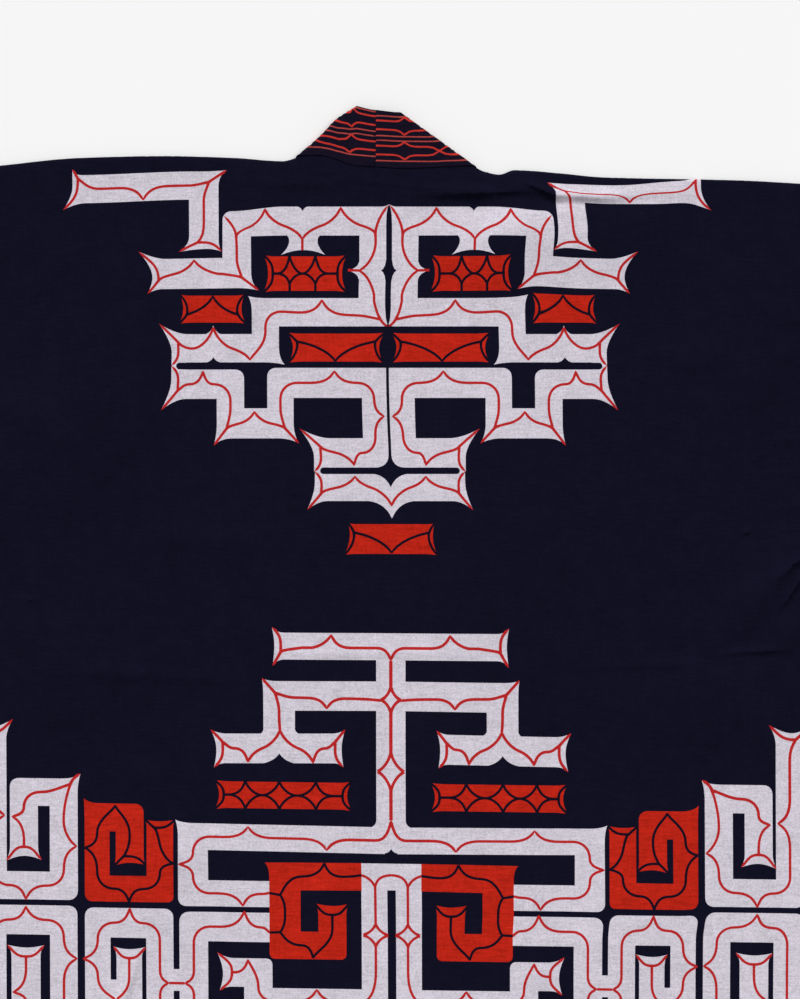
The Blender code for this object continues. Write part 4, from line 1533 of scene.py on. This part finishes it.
def lay_sleeve(side, material, sizes):
    """A sleeve: a flattened tube, open at the armhole and at the cuff."""
    reach = CUFF_X - HALF_WIDTH
    cuff_rows = [HEM_DEPTH + beyond for beyond in reversed(HEM_ROWS)] + [CUFF_ROW, 0.0]
    stations = even_steps(0.0, 1.0 - CUFF_ROWS_START / reach, SLEEVE_STEP / reach)
    stations += [1.0 - inwards / reach for inwards in cuff_rows]
    angles = [math.pi * step / SLEEVE_ARC for step in range(SLEEVE_ARC + 1)]
    grid = []
    for station in stations:
        rise = hem_step((1.0 - station) * reach)
        ring = []
        for step in range(1, SLEEVE_UPPER):
            across, along = sleeve_place(side, station, step / SLEEVE_UPPER)
            ring.append(Vector((across, along, top_height(across, along) + rise)))
        ring += [sleeve_fold_point(side, station, 1.0, angle) for angle in angles]
        for step in range(1, SLEEVE_UNDER):
            across, along = sleeve_place(side, station, 1.0 - step / SLEEVE_UNDER)
            ring.append(Vector((across, along, 0.0)))
        ring += [sleeve_fold_point(side, station, 0.0, angle) for angle in reversed(angles)]
        grid.append(ring)
    word = word_of(side)
    mesh = surface_mesh("sleeve_cloth_" + word, grid, True, material)
    piece = walled(mesh, sizes.wall, -1.0, 0)
    finish_piece(piece, "sleeve_" + word)
    armhole = top_edge(side * HALF_WIDTH) - UNDERARM_Y


class BandPath:
    """Where one half of the collar band lies, before and after its slanting fold."""

    def __init__(self, collar):
        self.side = collar.side
        self.collar = collar
        fold = Vector(collar.peak) - Vector(collar.neck_end)
        self.outwards = Vector((-fold.y, fold.x)).normalized()
        if self.outwards.x * self.side < 0.0:
            self.outwards.negate()
        bulge = BAND_FOLD_RADIUS + BAND / 2
        self.fold_point = Vector(collar.neck_end) - self.outwards * bulge
        self.start_angle = math.radians(collar.start_turn)
        end_angle = 2.0 * math.atan2(fold.y, fold.x) + math.pi / 2
        turn = end_angle - self.start_angle
        self.turn = math.atan2(math.sin(turn), math.cos(turn))
        self.neck_length = abs(collar.neck_end.across - BAND_SEAM_X) - CENTRE_GAP / 2
        self.turn_end = self.neck_length + BAND_TURN_START + BAND_TURN_LENGTH
        self.hem_length = self.turn_end + self.folded_point(self.turn_end, 0.0).y - HEM_Y

    def sewn_edge(self, length):
        """Place and direction of the sewn edge, before the fold, at a length along it."""
        across = BAND_SEAM_X + self.side * (CENTRE_GAP / 2 + min(length, self.neck_length))
        place = Vector((across, top_edge(across)))
        rest = length - self.neck_length
        if rest <= 0.0:
            ahead = across + self.side * LOOK_AHEAD
            if abs(ahead - BAND_SEAM_X) > self.neck_length:
                ahead = across - self.side * LOOK_AHEAD
                way = place - Vector((ahead, top_edge(ahead)))
            else:
                way = Vector((ahead, top_edge(ahead))) - place
            blend = smoothstep(length / BAND_LEVEL_REACH)
            level = Vector((self.side, 0.0))
            return place, level.lerp(way.normalized(), blend * self.collar.follow).normalized()
        angle = self.start_angle
        straight_part = min(rest, BAND_TURN_START)
        place += heading(angle) * straight_part
        rest -= straight_part
        bent = min(rest, BAND_TURN_LENGTH)
        if bent > 0.0:
            rate = self.turn / BAND_TURN_LENGTH
            place += heading(angle + rate * bent / 2) * (2.0 * math.sin(rate * bent / 2) / rate)
            angle += rate * bent
            rest -= bent
        return place + heading(angle) * rest, heading(angle)

    def flat_point(self, length, width):
        """Place in the unfolded plane, width measured from the sewn edge."""
        place, way = self.sewn_edge(length)
        width *= 1.0 - self.collar.taper * smoothstep(length / self.collar.taper_length)
        return place + left_of(way) * self.side * width

    def past_fold(self, flat):
        """How far a point of the unfolded plane lies past the fold, which bows out a little."""
        offset = flat - self.fold_point
        upwards = abs(offset.dot(left_of(self.outwards)))
        bow = self.collar.bulge * bump(upwards, FOLD_BOW_AT, FOLD_BOW_REACH)
        return offset.dot(self.outwards) - bow

    def folded_point(self, length, width):
        """Place of the middle of the band after it is turned under along its fold."""
        flat = self.flat_point(length, width)
        past = self.past_fold(flat)
        low = BAND / 2
        arc = math.pi * BAND_FOLD_RADIUS
        if past <= 0.0:
            return Vector((flat.x, flat.y, low + 2.0 * BAND_FOLD_RADIUS))
        base = flat - self.outwards * past
        if past < arc:
            angle = past / BAND_FOLD_RADIUS
            place = base + self.outwards * (BAND_FOLD_RADIUS * math.sin(angle))
            return Vector((place.x, place.y, low + BAND_FOLD_RADIUS * (1.0 + math.cos(angle))))
        place = base - self.outwards * (past - arc)
        return Vector((place.x, place.y, low))

    def length_past_fold(self, width, past):
        """Length along the band at which a line of it has gone so far past the fold."""
        low = 0.0
        high = self.neck_length + BAND_TURN_START + 2.0 * BAND_WIDTH
        for _ in range(HALVINGS):
            middle = (low + high) / 2
            if self.past_fold(self.flat_point(middle, width)) < past:
                low = middle
            else:
                high = middle
        return (low + high) / 2


# Print of the collar band, in millimetres along it and up from the neck seam

BAND_LINE_WIDTH = 0.00136
RAIL_SHARE = 0.74
PAIR_HALF = 3.4
PAIR_STEP = 56.0
PAIR_CUSP = 3.6
PAIR_MIDDLES = (36.2, 16.6)
RAILS = (43.3, 27.9, 24.3, 8.4)
PAIR_COUNT = 12  # steps in one run of a pair's line
CROSS_START = 0.36  # shares of a run between which its line crosses over
CROSS_LENGTH = 0.28
SPIKE_REACH = 11.0
LINE_START = 0.3  # the lines end this far from the seam and from the hem
LINE_STOP = 0.6
TOP_CLEAR = 0.9
RAIL_STEP = 8.0
BAND_EDGE_STEP = 1.6
BAND_CLEAR = 0.45
BAND_ROWS = 0.0031
BAND_COLUMNS = 0.0045
BAND_INSET = 0.4
SEAM_ROWS = (0.5, 1.0, SEAM_ROLL)
FOLD_ROWS = 12  # rows round the fold, of which a few lie beside it
FOLD_BESIDE = 2
FOLD_SPREAD = 1.1
BRIGHT = 1
DULL = 2
BAND_LIFT = 1.3  # the right half's print rises where the cloth gives beside the fold
BAND_LIFT_AT = 21.0
BAND_LIFT_REACH = 20.0
BAND_DROP = 4.4  # the left half's print sinks past the seam, in full from a height on
BAND_DROP_START = 17.0
BAND_DROP_LENGTH = 14.0
BAND_DROP_HEIGHT = 18.0


def settled(side, at, height):
    """Height of the collar's print where the cloth gives near the fold and the seam."""
    if side > 0:
        return height + BAND_LIFT * bump(at, BAND_LIFT_AT, BAND_LIFT_REACH)
    sunk = BAND_DROP * ramp(at, BAND_DROP_START, BAND_DROP_LENGTH)
    return height - sunk * min(1.0, height / BAND_DROP_HEIGHT)


def collar_regions(collar, length, line_half):
    """Lines of the collar band: rails, and pairs of lines that cross between cusps."""
    regions = []
    top = SHOWN_WIDTH / MM - TOP_CLEAR
    shift = collar.print_shift

    def draw(ink, line, half, share):
        line = [Vector((point.x, min(top, settled(collar.side, point.x, point.y)))) for point in line]
        regions.append((ink, ribbon(line, half, share, share)))

    count = int(length / RAIL_STEP)
    for rail in RAILS:
        places = [mix(LINE_START, length - LINE_STOP, step / count) for step in range(count + 1)]
        draw(DULL, [Vector((at, rail + shift)) for at in places], RAIL_SHARE * line_half, 1.0)
    for middle in PAIR_MIDDLES:
        for line in pair_lines(middle + shift, collar.print_start, length):
            draw(BRIGHT, line, line_half, JOIN_SHARE)
    return regions


def pair_lines(middle, first, length):
    """Both lines of a pair, each in runs from cusp to cusp."""
    lines = []
    last = length - LINE_STOP
    for side in (-1, 1):
        start = LINE_START
        cusp_at = first
        own = side
        while cusp_at <= last:
            lines.append(pair_run(middle, own, start, cusp_at, start > LINE_START, True))
            start = cusp_at
            own = -own if start > first + 1.0 else own
            cusp_at += PAIR_STEP
        if start < length - 1.0:
            lines.append(pair_run(middle, own, start, last, start > LINE_START, False))
    return lines


def pair_run(middle, side, start, end, start_cusp, end_cusp):
    """One run of a pair's line; after a cusp it crosses to the other side."""
    points = []
    for step in range(PAIR_COUNT + 1):
        share = step / PAIR_COUNT
        at = mix(start, end, share)
        level = side * PAIR_HALF
        if start_cusp:
            level = mix(side * PAIR_HALF, -side * PAIR_HALF, ramp(share, CROSS_START, CROSS_LENGTH))
        spike = 0.0
        if start_cusp:
            spike = max(spike, max(0.0, 1.0 - (at - start) / SPIKE_REACH) ** 3)
        if end_cusp:
            spike = max(spike, max(0.0, 1.0 - (end - at) / SPIKE_REACH) ** 3)
        sign = 1.0 if level >= 0.0 else -1.0
        points.append(Vector((at, middle + level + sign * PAIR_CUSP * spike)))
    return points


def collar_grid(path, length):
    """Points inside the band, closer together round its fold."""
    points = []
    for along in SEAM_ROWS:
        points += [Vector((along, across)) for across in even_steps(0.0, SHOWN_WIDTH / MM, SEAM_ROLL)]
    arc = math.pi * BAND_FOLD_RADIUS
    inset = BAND_INSET * MM
    for width in even_steps(inset, SHOWN_WIDTH - inset, BAND_ROWS):
        fold_start = path.length_past_fold(width, 0.0)
        for step in range(-FOLD_BESIDE, FOLD_ROWS + FOLD_BESIDE + 1):
            points.append(millimetres(fold_start + arc * FOLD_SPREAD * step / FOLD_ROWS, width))
        points += [millimetres(at, width) for at in even_steps(inset, length * MM - inset, BAND_COLUMNS)]
    return points


def lay_collar(collar, materials, sizes):
    """Half of the collar band with its lines, from the middle of the neck to the hem."""
    path = BandPath(collar)
    length = path.hem_length / MM
    width = SHOWN_WIDTH / MM
    outline = straight((0, 0), (length, 0), (length, width), (0, width))
    regions = collar_regions(collar, length, sizes.band_line_width / 2 / MM)
    grid = collar_grid(path, length)
    cloth = divide_print(outline, regions, grid, BAND_EDGE_STEP, BAND_CLEAR)

    def place(along, across):
        rolled = max(0.0, 1.0 - along / SEAM_ROLL)
        return path.folded_point(along * MM, across * MM) - Vector((0.0, 0.0, SEAM_DEPTH * rolled * rolled))

    word = word_of(collar.side)
    piece = printed_object("collar_cloth_" + word, cloth, place, materials, sizes.band_wall, 0.0)
    finish_piece(piece, "collar_" + word)


def lay_front(collar, material, sizes):
    """A front: one flat layer on the floor, from the band to the side seam."""
    path = BandPath(collar)
    side = collar.side
    start = path.length_past_fold(0.0, math.pi * BAND_FOLD_RADIUS)
    lengths = even_steps(start, path.turn_end, FRONT_STEP)[:-1]
    lengths += even_steps(path.turn_end, path.hem_length, FRONT_LONG_STEP)
    inner_edge = [path.folded_point(length, -SEAM_GAP) for length in lengths]
    highest = inner_edge[0].y
    side_setback = CLOTH + SEAM_GAP + SIDE_SETBACK
    top_setback = CLOTH + SEAM_GAP + SHOULDER_SETBACK
    grid = []
    for inner in inner_edge:
        fraction = (highest - inner.y) / (highest - HEM_Y)
        line = [Vector((inner.x, inner.y, 0.0))]
        for column in range(1, FRONT_COLUMNS + 1):
            share = (column / FRONT_COLUMNS) ** FRONT_SPREAD
            along = inner.y
            for _ in range(FRONT_ROUNDS):
                turned_share = side_turn(along - FRONT_SIDE_START)
                outer = side * (HALF_WIDTH - turned_share * side_setback)
                across = mix(inner.x, outer, share)
                along = mix(top_edge(across) - top_setback, HEM_Y, fraction)
            line.append(Vector((across, along, 0.0)))
        grid.append(line)
    word = word_of(side)
    mesh = surface_mesh("front_cloth_" + word, grid, False, material)
    piece = walled(mesh, sizes.wall, 1.0, 0)
    finish_piece(piece, "front_" + word)


# Materials


def linear(hex_colour):
    """Linear colour of an sRGB hex value."""
    values = []
    for index in (1, 3, 5):
        value = int(hex_colour[index:index + 2], 16) / 255
        if value <= 0.04045:
            values.append(value / 12.92)
        else:
            values.append(((value + 0.055) / 1.055) ** 2.4)
    return (*values, 1.0)


def add_node(tree, kind, settings, links):
    """Add a node, set its fields or sockets, and link its inputs to other nodes."""
    node = tree.nodes.new(kind)
    for name, value in settings.items():
        if isinstance(name, str) and hasattr(node, name):
            setattr(node, name, value)
        else:
            node.inputs[name].default_value = value
    for name, (source, socket) in links.items():
        tree.links.new(source.outputs[socket], node.inputs[name])
    return node


SPECKLE = 1.2  # millimetres; the real thread is a third of that, too fine to show
THREAD_PITCH = 1.3
SLUB_LENGTH = 9.0
CLOUD = 16.0
CLOTH_ROUGHNESS = 0.95
CLOTH_SHINE = 0.02
GRAIN_ROUGHNESS = 0.6
WEAVE_STRENGTH = 0.4
WEAVE_DEPTH = 0.0003


def matt_material(name, roughness, shine):
    """A material with its shader set to a rough surface."""
    material = bpy.data.materials.new(name)
    material.use_nodes = True
    shader = material.node_tree.nodes["Principled BSDF"]
    shader.inputs["Roughness"].default_value = roughness
    shader.inputs["Specular IOR Level"].default_value = shine
    return material, shader


def woven(name, colour, shade, speckle, slub, mottle):
    """Plain-weave cotton: fine fibres, slubs along both thread directions and soft clouds."""
    material, shader = matt_material(name, CLOTH_ROUGHNESS, CLOTH_SHINE)
    tree = material.node_tree
    coords = add_node(tree, "ShaderNodeTexCoord", {}, {})
    fine = 1.0 / (THREAD_PITCH * MM)
    coarse = 1.0 / (SLUB_LENGTH * MM)
    even = 1.0 / (SPECKLE * MM)
    wide = 1.0 / (CLOUD * MM)
    layers = (
        ((even, even, even), speckle, 2.0),
        ((coarse, fine, coarse), slub, 2.0),
        ((fine, coarse, coarse), 0.5 * slub, 2.0),
        ((wide, wide, wide), mottle, 3.0),
    )
    share = None
    grains = []
    for scale, weight, detail in layers:
        mapping = add_node(tree, "ShaderNodeMapping", {"Scale": scale}, {"Vector": (coords, "Object")})
        noise = add_node(tree, "ShaderNodeTexNoise",
                         {"Scale": 1.0, "Detail": detail, "Roughness": GRAIN_ROUGHNESS},
                         {"Vector": (mapping, "Vector")})
        grains.append(noise)
        balance = {} if share else {2: 0.5 - 0.5 * sum(layer[1] for layer in layers)}
        before = {2: (share, 0)} if share else {}
        share = add_node(tree, "ShaderNodeMath", {"operation": "MULTIPLY_ADD", 1: weight, **balance},
                         {0: (noise, "Fac"), **before})
    share.use_clamp = True
    shaded = (*(shade * value for value in colour), 1.0)
    blend = add_node(tree, "ShaderNodeMix", {"data_type": "RGBA", 6: shaded, 7: (*colour, 1.0)},
                     {0: (share, 0)})
    weave = add_node(tree, "ShaderNodeMath", {"operation": "ADD"},
                     {0: (grains[1], "Fac"), 1: (grains[2], "Fac")})
    relief = add_node(tree, "ShaderNodeBump", {"Strength": WEAVE_STRENGTH, "Distance": WEAVE_DEPTH},
                      {"Height": (weave, 0)})
    tree.links.new(blend.outputs[2], shader.inputs["Base Color"])
    tree.links.new(relief.outputs["Normal"], shader.inputs["Normal"])
    return material


Finish = namedtuple("Finish", "name colour_name shade speckle slub mottle")

FINISHES = {
    # Cotton dyed dark with indigo: nearly black, with a violet cast and faint slubs
    "navy": Finish("indigo_dyed_cotton", "ground", 0.48, 0.7, 0.9, 0.6),
    # The unprinted inner side of the same cloth
    "inside": Finish("indigo_cotton_inside", "inner_side", 0.48, 0.7, 0.9, 0.6),
    # Undyed ground left by the block print: a cool grey white with fine fibres
    "white": Finish("undyed_cotton_ground", "white_print", 0.51, 1.3, 0.7, 0.4),
    # Block printed pigment red, dull and slightly uneven
    "red": Finish("red_printed_cotton", "red_print", 0.48, 0.9, 1.1, 0.5),
    # Thin printed lines on the white ground, a little cooler
    "line": Finish("red_line_print", "red_line", 0.60, 0.9, 0.6, 0.5),
    # Thin lines on the red, where the dark ground shows through
    "dark": Finish("dark_line_print", "dark_line", 0.52, 0.8, 0.6, 0.4),
    # Band of the collar: the same dyed cotton, pressed in two layers
    "collar": Finish("collar_indigo_cotton", "band_ground", 0.50, 0.7, 0.9, 0.6),
    # The same red printed brightly in thin lines on the pressed band
    "bright": Finish("collar_red_line_print", "band_line", 0.56, 1.1, 0.6, 0.5),
    # Paler straight lines, rubbed into the weave
    "dull": Finish("collar_dull_line_print", "band_rail", 0.50, 1.1, 0.6, 0.5),
    # Twisted cotton sewing thread, a touch lighter than the cloth
    "thread": Finish("cotton_sewing_thread", "sewing_thread", 0.55, 0.9, 0.4, 0.2),
}


def finish_material(key, colours):
    """The material of a finish, made when it is first asked for."""
    name, colour_name, *weave = FINISHES[key]
    made = bpy.data.materials.get(name)
    return made or woven(name, getattr(colours, colour_name), *weave)


# Stitches of the hem and the cuffs

HEM_LINE_STEP = 0.006
CUFF_LINE_START = 0.02  # the cuff's sewing starts and ends this share from its folds
CUFF_LINE_STEP = 0.03


def stitch_tree():
    """Node tree that lays a running stitch along the edges of a path."""
    tree = bpy.data.node_groups.new("running_stitch", "GeometryNodeTree")
    sockets = tree.interface
    sockets.new_socket("Path", in_out="INPUT", socket_type="NodeSocketGeometry")
    for name in ("Stitch Length", "Gap", "Thread"):
        sockets.new_socket(name, in_out="INPUT", socket_type="NodeSocketFloat")
    sockets.new_socket("Material", in_out="INPUT", socket_type="NodeSocketMaterial")
    sockets.new_socket("Stitches", in_out="OUTPUT", socket_type="NodeSocketGeometry")
    given = add_node(tree, "NodeGroupInput", {}, {})
    curve = add_node(tree, "GeometryNodeMeshToCurve", {}, {"Mesh": (given, "Path")})
    spacing = add_node(tree, "ShaderNodeMath", {"operation": "ADD"},
                       {0: (given, "Stitch Length"), 1: (given, "Gap")})
    places = add_node(tree, "GeometryNodeCurveToPoints", {"mode": "LENGTH"},
                      {"Curve": (curve, "Curve"), "Length": (spacing, 0)})
    bead = add_node(tree, "GeometryNodeMeshUVSphere", {"Segments": 6, "Rings": 5, "Radius": 0.5}, {})
    shape = add_node(tree, "ShaderNodeCombineXYZ", {},
                     {"X": (given, "Thread"), "Y": (given, "Thread"), "Z": (given, "Stitch Length")})
    uneven = add_node(tree, "FunctionNodeRandomValue",
                      {"data_type": "FLOAT_VECTOR", 0: (0.9, 0.9, 0.82), 1: (1.1, 1.1, 1.08), "Seed": 4}, {})
    scale = add_node(tree, "ShaderNodeVectorMath", {"operation": "MULTIPLY"}, {0: (shape, 0), 1: (uneven, 0)})
    laid = add_node(tree, "GeometryNodeInstanceOnPoints", {},
                    {"Points": (places, "Points"), "Instance": (bead, "Mesh"),
                     "Rotation": (places, "Rotation"), "Scale": (scale, 0)})
    real = add_node(tree, "GeometryNodeRealizeInstances", {}, {"Geometry": (laid, "Instances")})
    finished = add_node(tree, "GeometryNodeSetMaterial", {},
                        {"Geometry": (real, "Geometry"), "Material": (given, "Material")})
    add_node(tree, "NodeGroupOutput", {}, {"Stitches": (finished, "Geometry")})
    return tree


def sewn_paths():
    """Lines of sewing on the cloth: along the hem of the back and round both cuffs."""
    half = HALF_WIDTH - EDGE_STRIP
    paths = [[back_place(across, HEM_Y + SEWN_IN) for across in even_steps(-half, half, HEM_LINE_STEP)]]
    station = 1.0 - SEWN_IN / (CUFF_X - HALF_WIDTH)
    for side in (-1, 1):
        line = []
        for depth in even_steps(CUFF_LINE_START, 1.0 - CUFF_LINE_START, CUFF_LINE_STEP):
            across, along = sleeve_place(side, station, depth)
            line.append(Vector((across, along, top_height(across, along) + HEM_RISE)))
        paths.append(line)
    return paths


def sew(material, sizes):
    """Running stitches made from the node tree and kept as one plain mesh."""
    verts = []
    edges = []
    for line in sewn_paths():
        first = len(verts)
        verts += line
        edges += [(first + index, first + index + 1) for index in range(len(line) - 1)]
    mesh = bpy.data.meshes.new("sewing_lines")
    mesh.from_pydata(verts, edges, [])
    piece = add_object("hem_and_cuff_stitches", mesh)
    tree = stitch_tree()
    values = {"Stitch Length": sizes.stitch, "Gap": sizes.stitch_gap, "Thread": sizes.thread,
              "Material": material}
    sewing = piece.modifiers.new("sewing", "NODES")
    sewing.node_group = tree
    for socket in tree.interface.items_tree:
        if socket.in_out == "INPUT" and socket.name in values:
            sewing[socket.identifier] = values[socket.name]
    keep_result(piece, sewing).shade_smooth()
    bpy.data.meshes.remove(mesh)
    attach(piece, BODY)


# Stage

FRAME_MIDDLE = (0.0078, 0.1668)
FRAME_HEIGHT = 0.7792
CAMERA_HEIGHT = 2.4
FLOOR_HALF = 4.0
FLOOR_DROP = 0.0004
WORLD_STRENGTH = 0.38
Sun = namedtuple("Sun", "name place softness power")
SUNS = rows(Sun,
    ("high_key", (-0.9, 1.6, 1.25), 24.0, 2.9),
    ("right_fill", (1.6, 0.4, 1.9), 40.0, 0.45),
)


def set_stage(context):
    """Pale floor, soft lights and a camera that looks straight down."""
    floor_mesh = bpy.data.meshes.new("floor")
    shape = bmesh.new()
    bmesh.ops.create_grid(shape, x_segments=2, y_segments=2, size=FLOOR_HALF)
    shape.to_mesh(floor_mesh)
    shape.free()
    floor = add_object("floor", floor_mesh)
    paper, shader = matt_material("matt_white_paper", 1.0, 0.0)
    shader.inputs["Base Color"].default_value = linear("#F5F5F5")
    floor_mesh.materials.append(paper)
    floor.location.z = -FLOOR_DROP
    world = bpy.data.worlds.new("studio")
    world.use_nodes = True
    background = world.node_tree.nodes["Background"]
    background.inputs["Color"].default_value = (1.0, 1.0, 1.0, 1.0)
    background.inputs["Strength"].default_value = WORLD_STRENGTH
    context.scene.world = world
    for sun in SUNS:
        light = bpy.data.lights.new(sun.name, "SUN")
        light.angle = math.radians(sun.softness)
        light.energy = sun.power
        lamp = add_object(sun.name, light)
        lamp.location = sun.place
        lamp.rotation_euler = (-Vector(sun.place)).to_track_quat("-Z", "Y").to_euler()
    camera_data = bpy.data.cameras.new("camera")
    camera_data.lens = camera_data.sensor_width * CAMERA_HEIGHT / FRAME_HEIGHT
    camera = add_object("camera", camera_data)
    camera.location = (*FRAME_MIDDLE, CAMERA_HEIGHT)
    context.scene.camera = camera
    context.scene.view_settings.view_transform = "Standard"


# Add-on


def length_property(name, description, default, low, high):
    return bpy.props.FloatProperty(name=name, description=description, default=default, min=low, max=high,
                                   precision=5, subtype="DISTANCE", unit="LENGTH")


def colour_property(name, description, hex_colour):
    return bpy.props.FloatVectorProperty(name=name, description=description, size=3, min=0.0, max=1.0,
                                         default=linear(hex_colour)[:3], subtype="COLOR")


class JacketSizes(bpy.types.PropertyGroup):
    """Sizes that a user would change"""

    wall: length_property("Cloth", "Thickness of one layer of cotton", SHOWN_WALL, 0.0004, CLOTH)
    band_wall: length_property("Band", "Thickness of the folded collar band", SHOWN_BAND, 0.0008, BAND)
    line_width: length_property("Printed line", "Width of the lines on the back", LINE_WIDTH, 0.001, 0.004)
    band_line_width: length_property("Band line", "Width of the lines on the collar band",
                                     BAND_LINE_WIDTH, 0.0008, 0.003)
    stitch: length_property("Stitch", "Length of one stitch", 0.0034, 0.001, 0.010)
    stitch_gap: length_property("Stitch gap", "Gap between two stitches", 0.0026, 0.0005, 0.010)
    thread: length_property("Thread", "Thickness of the sewing thread", 0.0006, 0.0002, 0.002)


class JacketColours(bpy.types.PropertyGroup):
    """Colours that a user would change"""

    ground: colour_property("Ground", "Dyed ground of the cloth", "#151427")
    inner_side: colour_property("Inner side", "Unprinted inner side", "#151426")
    white_print: colour_property("White", "White parts of the print", "#E6DFEC")
    red_print: colour_property("Red", "Red parts of the print", "#D02A1A")
    red_line: colour_property("Red line", "Lines on the white parts", "#C42A2B")
    dark_line: colour_property("Dark line", "Lines on the red parts", "#1A1222")
    band_ground: colour_property("Band", "Ground of the collar band", "#1A1425")
    band_line: colour_property("Band line", "Bright lines of the collar band", "#CC3830")
    band_rail: colour_property("Band rail", "Dull straight lines of the collar band", "#B84A44")
    sewing_thread: colour_property("Thread", "Sewing thread of hem and cuffs", "#2A2740")


class JACKET_OT_stage(bpy.types.Operator):
    """Add the pale floor, the soft lights and the camera"""

    bl_idname = "jacket.stage"
    bl_label = "Set the stage"

    def execute(self, context):
        set_stage(context)
        return {"FINISHED"}


class JACKET_OT_fronts(bpy.types.Operator):
    """Lay the two fronts on the floor"""

    bl_idname = "jacket.fronts"
    bl_label = "Lay the fronts"

    def execute(self, context):
        scene = context.scene
        material = finish_material("inside", scene.jacket_colours)
        for collar in COLLARS:
            lay_front(collar, material, scene.jacket_sizes)
        return {"FINISHED"}


class JACKET_OT_collar(bpy.types.Operator):
    """Fold the two halves of the collar band"""

    bl_idname = "jacket.collar"
    bl_label = "Fold the collar band"

    def execute(self, context):
        scene = context.scene
        keys = ("collar", "bright", "dull", "collar")
        materials = [finish_material(key, scene.jacket_colours) for key in keys]
        for collar in COLLARS:
            lay_collar(collar, materials, scene.jacket_sizes)
        return {"FINISHED"}


class JACKET_OT_sleeves(bpy.types.Operator):
    """Lay the two sleeves beside the back"""

    bl_idname = "jacket.sleeves"
    bl_label = "Lay the sleeves"

    def execute(self, context):
        scene = context.scene
        material = finish_material("navy", scene.jacket_colours)
        for side in (-1, 1):
            lay_sleeve(side, material, scene.jacket_sizes)
        return {"FINISHED"}


class JACKET_OT_back(bpy.types.Operator):
    """Lay the printed back over the fronts"""

    bl_idname = "jacket.back"
    bl_label = "Lay the printed back"

    def execute(self, context):
        scene = context.scene
        keys = ("navy", "white", "red", "line", "dark", "inside")
        lay_back([finish_material(key, scene.jacket_colours) for key in keys], scene.jacket_sizes)
        return {"FINISHED"}


class JACKET_OT_stitches(bpy.types.Operator):
    """Sew the hem and the cuffs with a running stitch"""

    bl_idname = "jacket.stitches"
    bl_label = "Sew the hem and cuffs"

    def execute(self, context):
        scene = context.scene
        sew(finish_material("thread", scene.jacket_colours), scene.jacket_sizes)
        return {"FINISHED"}


class JACKET_PT_panel(bpy.types.Panel):
    """Panel that lists the pieces of the jacket"""

    bl_label = "Printed jacket"
    bl_idname = "JACKET_PT_panel"
    bl_space_type = "VIEW_3D"
    bl_region_type = "UI"
    bl_category = "Jacket"

    def draw(self, context):
        column = self.layout.column()
        for group in (context.scene.jacket_sizes, context.scene.jacket_colours):
            for name in group.__annotations__:
                column.prop(group, name)
        for operator in OPERATORS:
            column.operator(operator.bl_idname)


OPERATORS = (JACKET_OT_stage, JACKET_OT_fronts, JACKET_OT_collar, JACKET_OT_sleeves, JACKET_OT_back,
             JACKET_OT_stitches)
CLASSES = (JacketSizes, JacketColours, *OPERATORS, JACKET_PT_panel)


def register():
    for cls in CLASSES:
        bpy.utils.register_class(cls)
    bpy.types.Scene.jacket_sizes = bpy.props.PointerProperty(type=JacketSizes)
    bpy.types.Scene.jacket_colours = bpy.props.PointerProperty(type=JacketColours)


def unregister():
    del bpy.types.Scene.jacket_colours
    del bpy.types.Scene.jacket_sizes
    for cls in reversed(CLASSES):
        bpy.utils.unregister_class(cls)


def main():
    register()
    bpy.ops.jacket.stage()
    bpy.ops.jacket.fronts()
    bpy.ops.jacket.collar()
    bpy.ops.jacket.sleeves()
    bpy.ops.jacket.back()
    bpy.ops.jacket.stitches()


if __name__ == "__main__":
    main()
